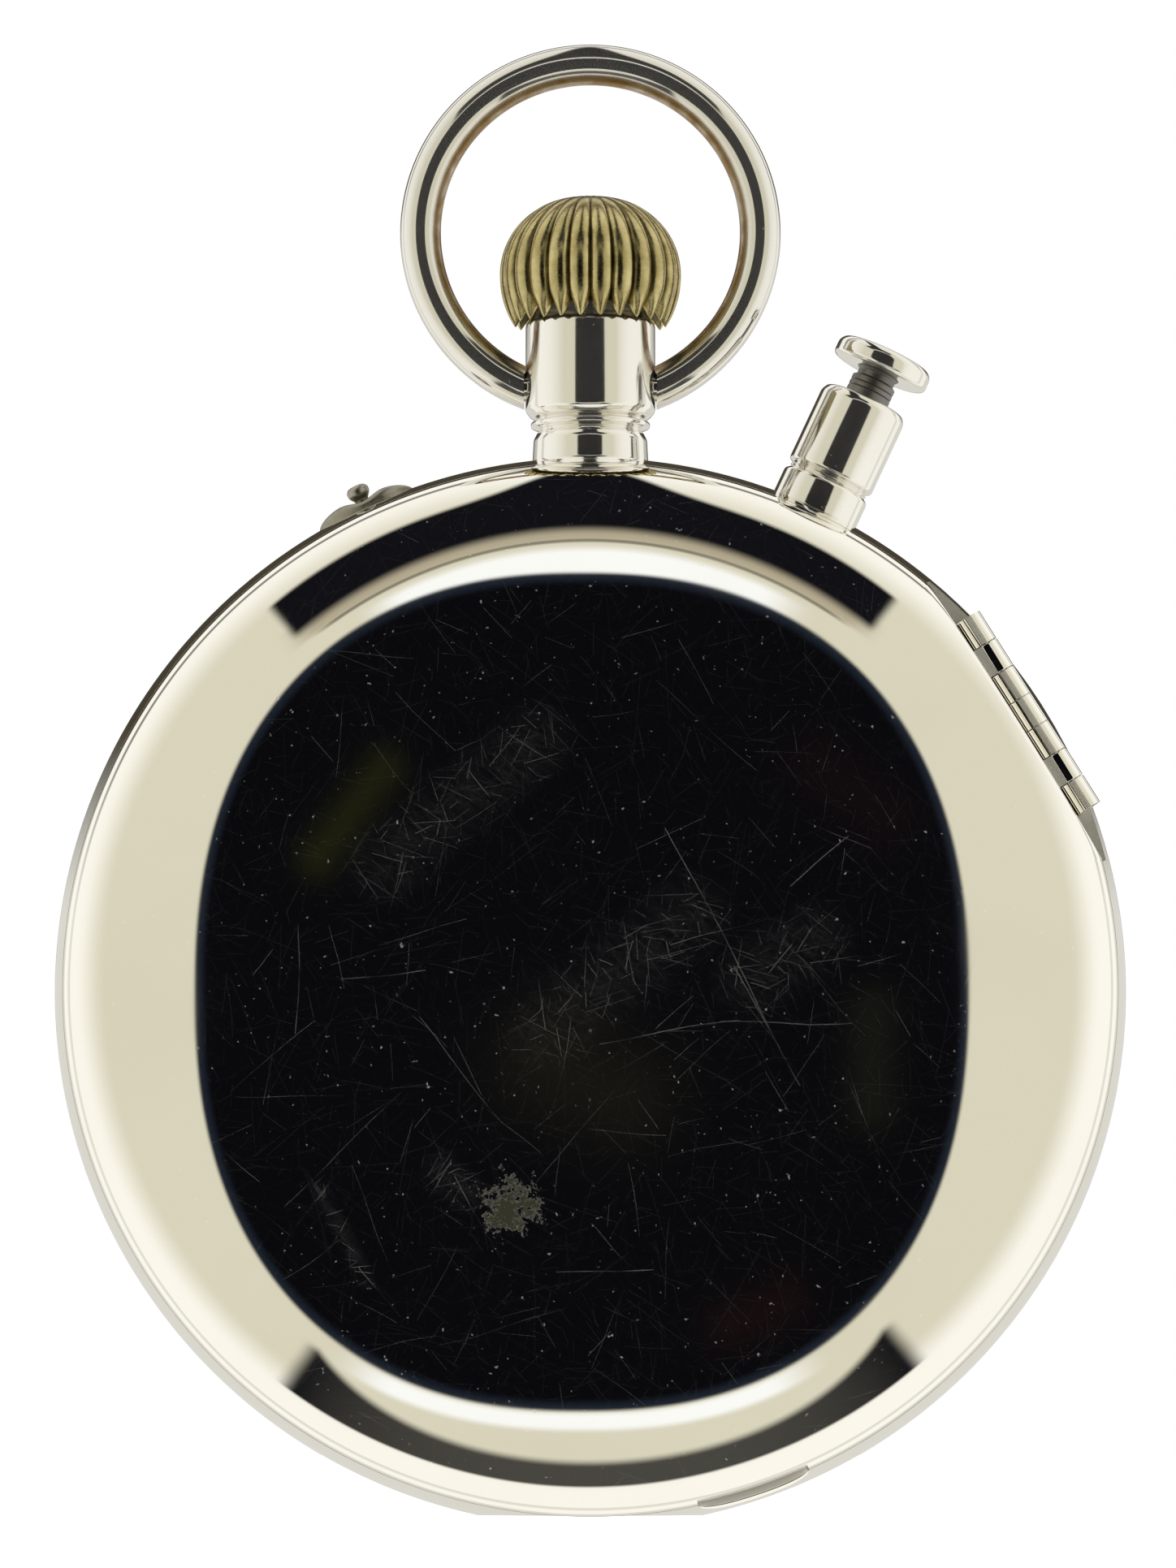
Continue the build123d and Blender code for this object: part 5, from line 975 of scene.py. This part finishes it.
def seen_in_dome(tent):
    """Where in the picture the back mirrors each point of the tent, and how steep the back is there."""
    spot = np.tile((0.0, BACK_Y, 0.0), (len(tent), 1))
    for _ in range(12):
        to_tent = tent - spot
        to_camera = camera_place - spot
        to_tent /= np.linalg.norm(to_tent, axis=1)[:, None]
        to_camera /= np.linalg.norm(to_camera, axis=1)[:, None]
        normal = to_tent + to_camera
        normal /= np.maximum(np.linalg.norm(normal, axis=1), 1e-9)[:, None]
        tilt = np.hypot(normal[:, 0], normal[:, 2])
        reach = np.where(normal[:, 1] > 0, np.interp(tilt, dome_sine, dome_reach), RIM_RADIUS)
        flat = normal[:, ::2] / np.maximum(tilt, 1e-9)[:, None] * reach[:, None]
        spot = np.stack((flat[:, 0], dome_y(reach), flat[:, 1]), -1)
    return *in_picture(spot), tilt


def fade(value, start, end):
    """0 before start and 1 after end, smooth between."""
    share = np.clip((value - start) / (end - start), 0, 1)
    return (share * share * (3 - 2 * share))[:, None]


def between(value, start, end, soft):
    """1 inside a range and 0 outside it, with soft edges."""
    return fade(value, start - soft / 2, start + soft / 2) * fade(-value, -end - soft / 2, -end + soft / 2)


def tent_colours(x, z, tilt):
    """Light of the tent at places of the mirrored picture in the back."""
    reach = np.hypot(x, z)
    turn = np.degrees(np.arctan2(x, z))
    low_turn = np.degrees(np.arctan2(x, -z))
    across = np.abs((x - WINDOW_MIDDLE[0]) / WINDOW_SIZE[0])
    along = np.abs((z - WINDOW_MIDDLE[1]) / WINDOW_SIZE[1])
    window = (across**WINDOW_POWER + along**WINDOW_POWER) ** (1 / WINDOW_POWER)
    light = CREAM + fade(reach, *RIM_FADE) * (RIM_CREAM - CREAM)
    # Painted reflection: two dark lines of the tent that the back mirrors near its rim.
    rim_line = 0.3 + 0.7 * between(turn, -72, 72, 24)
    light += 0.8 * rim_line * between(tilt, *RIM_LINE, 0.02) * (DARK_RIM_REFLECTION - light)
    light += rim_line * fade(tilt, *EDGE_LINE) * (DARK_RIM_REFLECTION - light)
    above = between(turn, -40, 38, 6)
    light += above * between(reach, *OLIVE_BAND, 0.4) * (OLIVE - light)
    # Painted reflection: a dark line of the tent that the back mirrors beside the olive band.
    light += 0.75 * between(turn, -37, 35, 5) * between(reach, *SEAM_REFLECTION_BAND, 0.12) * (DARK_SEAM_REFLECTION - light)
    high_white = between(turn, -29, 28, 9) * fade(window, 0.98, 1.0) * fade(-reach, -26.5, -25.9)
    light += high_white * (WHITE - light)
    below = between(low_turn, -30, 28, 10)
    light += below * between(window, *BRIGHT_BAND, 0.02) * (WHITE - light)
    flag_rim = HIGH_FLAG_TOP + 1.3 * np.exp(-((turn / 9) ** 2))
    flag = between(turn, -40.5, 39, 1.5) * fade(reach, *HIGH_FLAG_FOOT)
    flag = flag * fade(-(reach - flag_rim), -0.15, 0.15)
    light += flag * (BLACK * 2 - light)
    end_share = np.clip(np.abs(low_turn - 2) / 38, 0, 1)
    flag_foot = LOW_FLAG_FOOT - 1.5 * end_share**4
    low_flag = between(low_turn, -37, 41, 3) * fade(reach - flag_foot, 0, 0.6)
    low_flag *= fade(-reach, -LOW_FLAG_TOP[1], -LOW_FLAG_TOP[0])
    flag_tone = GREY + (end_share**3)[:, None] * (BLACK * 2 - GREY)
    light += low_flag * (flag_tone - light)
    light += fade(-window, -1.006, -0.994) * (BLUE_EDGE - light)
    light += fade(-window, -0.993, -0.968) * (BLACK - light)
    for start, end, size, colour in GLOWS:
        run = np.subtract(end, start)
        share = np.clip(((x - start[0]) * run[0] + (z - start[1]) * run[1]) / (run @ run), 0, 1)
        distance = np.hypot(x - start[0] - share * run[0], z - start[1] - share * run[1])
        glow = np.exp(-((distance / size) ** 2)) * (window < 1)
        light += glow[:, None] * np.array(colour)
    return light


def tent():
    """The tent itself: a sphere whose colours are its light."""
    shape = (TENT_ROWS, TENT_COLUMNS)
    polar = np.interp(np.linspace(0, 1, TENT_ROWS), ROW_SHARES, np.radians(ROW_ANGLES))[:, None]
    turn = np.linspace(0, 2 * pi, TENT_COLUMNS + 1)[None, :-1]
    away = np.sin(polar)
    toward = np.broadcast_to(np.cos(polar), shape)
    directions = np.stack((-away * np.sin(turn), toward, away * np.cos(turn)), -1).reshape(-1, 3)
    points = directions * TENT_RADIUS + CASE_MIDDLE
    mesh = bpy.data.meshes.new("light_tent")
    mesh.from_pydata(points * MM, [], grid_faces(*shape).tolist())
    colours = np.concatenate((tent_colours(*seen_in_dome(points)), np.ones((len(points), 1))), 1)
    layer = mesh.color_attributes.new("light", "FLOAT_COLOR", "POINT")
    layer.data.foreach_set("color", colours.astype(np.float32).ravel())
    material = bpy.data.materials.new("light_tent")
    material.use_nodes = True
    tree = material.node_tree
    tree.nodes.clear()
    light = node(tree, "Attribute", attribute_name="light").outputs["Color"]
    glow = node(tree, "Emission", {"Color": light, "Strength": 1.0}).outputs[0]
    tree.links.new(glow, node(tree, "OutputMaterial").inputs[0])
    mesh.materials.append(material)
    made = bpy.data.objects.new("light_tent", mesh)
    made.visible_camera = False
    bpy.context.scene.collection.objects.link(made)
    return made


FLOOR_REACH = 900 * MM
FLOOR_LEVEL = -33.6 * MM


def floor():
    """A plain pale floor just under the watch."""
    mesh = bpy.data.meshes.new("floor")
    signs = ((-1, -1), (1, -1), (1, 1), (-1, 1))
    corners = [(x * FLOOR_REACH, y * FLOOR_REACH, FLOOR_LEVEL) for x, y in signs]
    mesh.from_pydata(corners, [], [(0, 1, 2, 3)])
    material, tree, shader, place = blank_material("pale_floor", 0.0)
    grain = noise(tree, place, 0.05, 4.0)
    pale = blend_colours(tree, grain, (0.93, 0.93, 0.92), (0.90, 0.90, 0.89))
    tree.links.new(pale, shader.inputs["Base Color"])
    tree.links.new(pale, shader.inputs["Emission Color"])
    shader.inputs["Emission Strength"].default_value = 1.0
    shader.inputs["Roughness"].default_value = 0.9
    mesh.materials.append(material)
    made = bpy.data.objects.new("floor", mesh)
    made.visible_glossy = False
    bpy.context.scene.collection.objects.link(made)
    return made


def camera():
    """The camera, looking at the back."""
    data = bpy.data.cameras.new("camera")
    data.lens = CAMERA_LENS
    data.clip_start = 0.01
    made = bpy.data.objects.new("camera", data)
    made.location = Vector(camera_place * MM)
    made.rotation_mode = "QUATERNION"
    made.rotation_quaternion = Vector(-camera_back).to_track_quat("-Z", "Y")
    bpy.context.scene.collection.objects.link(made)
    bpy.context.scene.camera = made


world = bpy.data.worlds.new("studio")
world.use_nodes = True
world.node_tree.nodes["Background"].inputs[0].default_value = (1, 1, 1, 1)
bpy.context.scene.world = world
bpy.context.scene.view_settings.view_transform = "Standard"
tent()
floor()
camera()
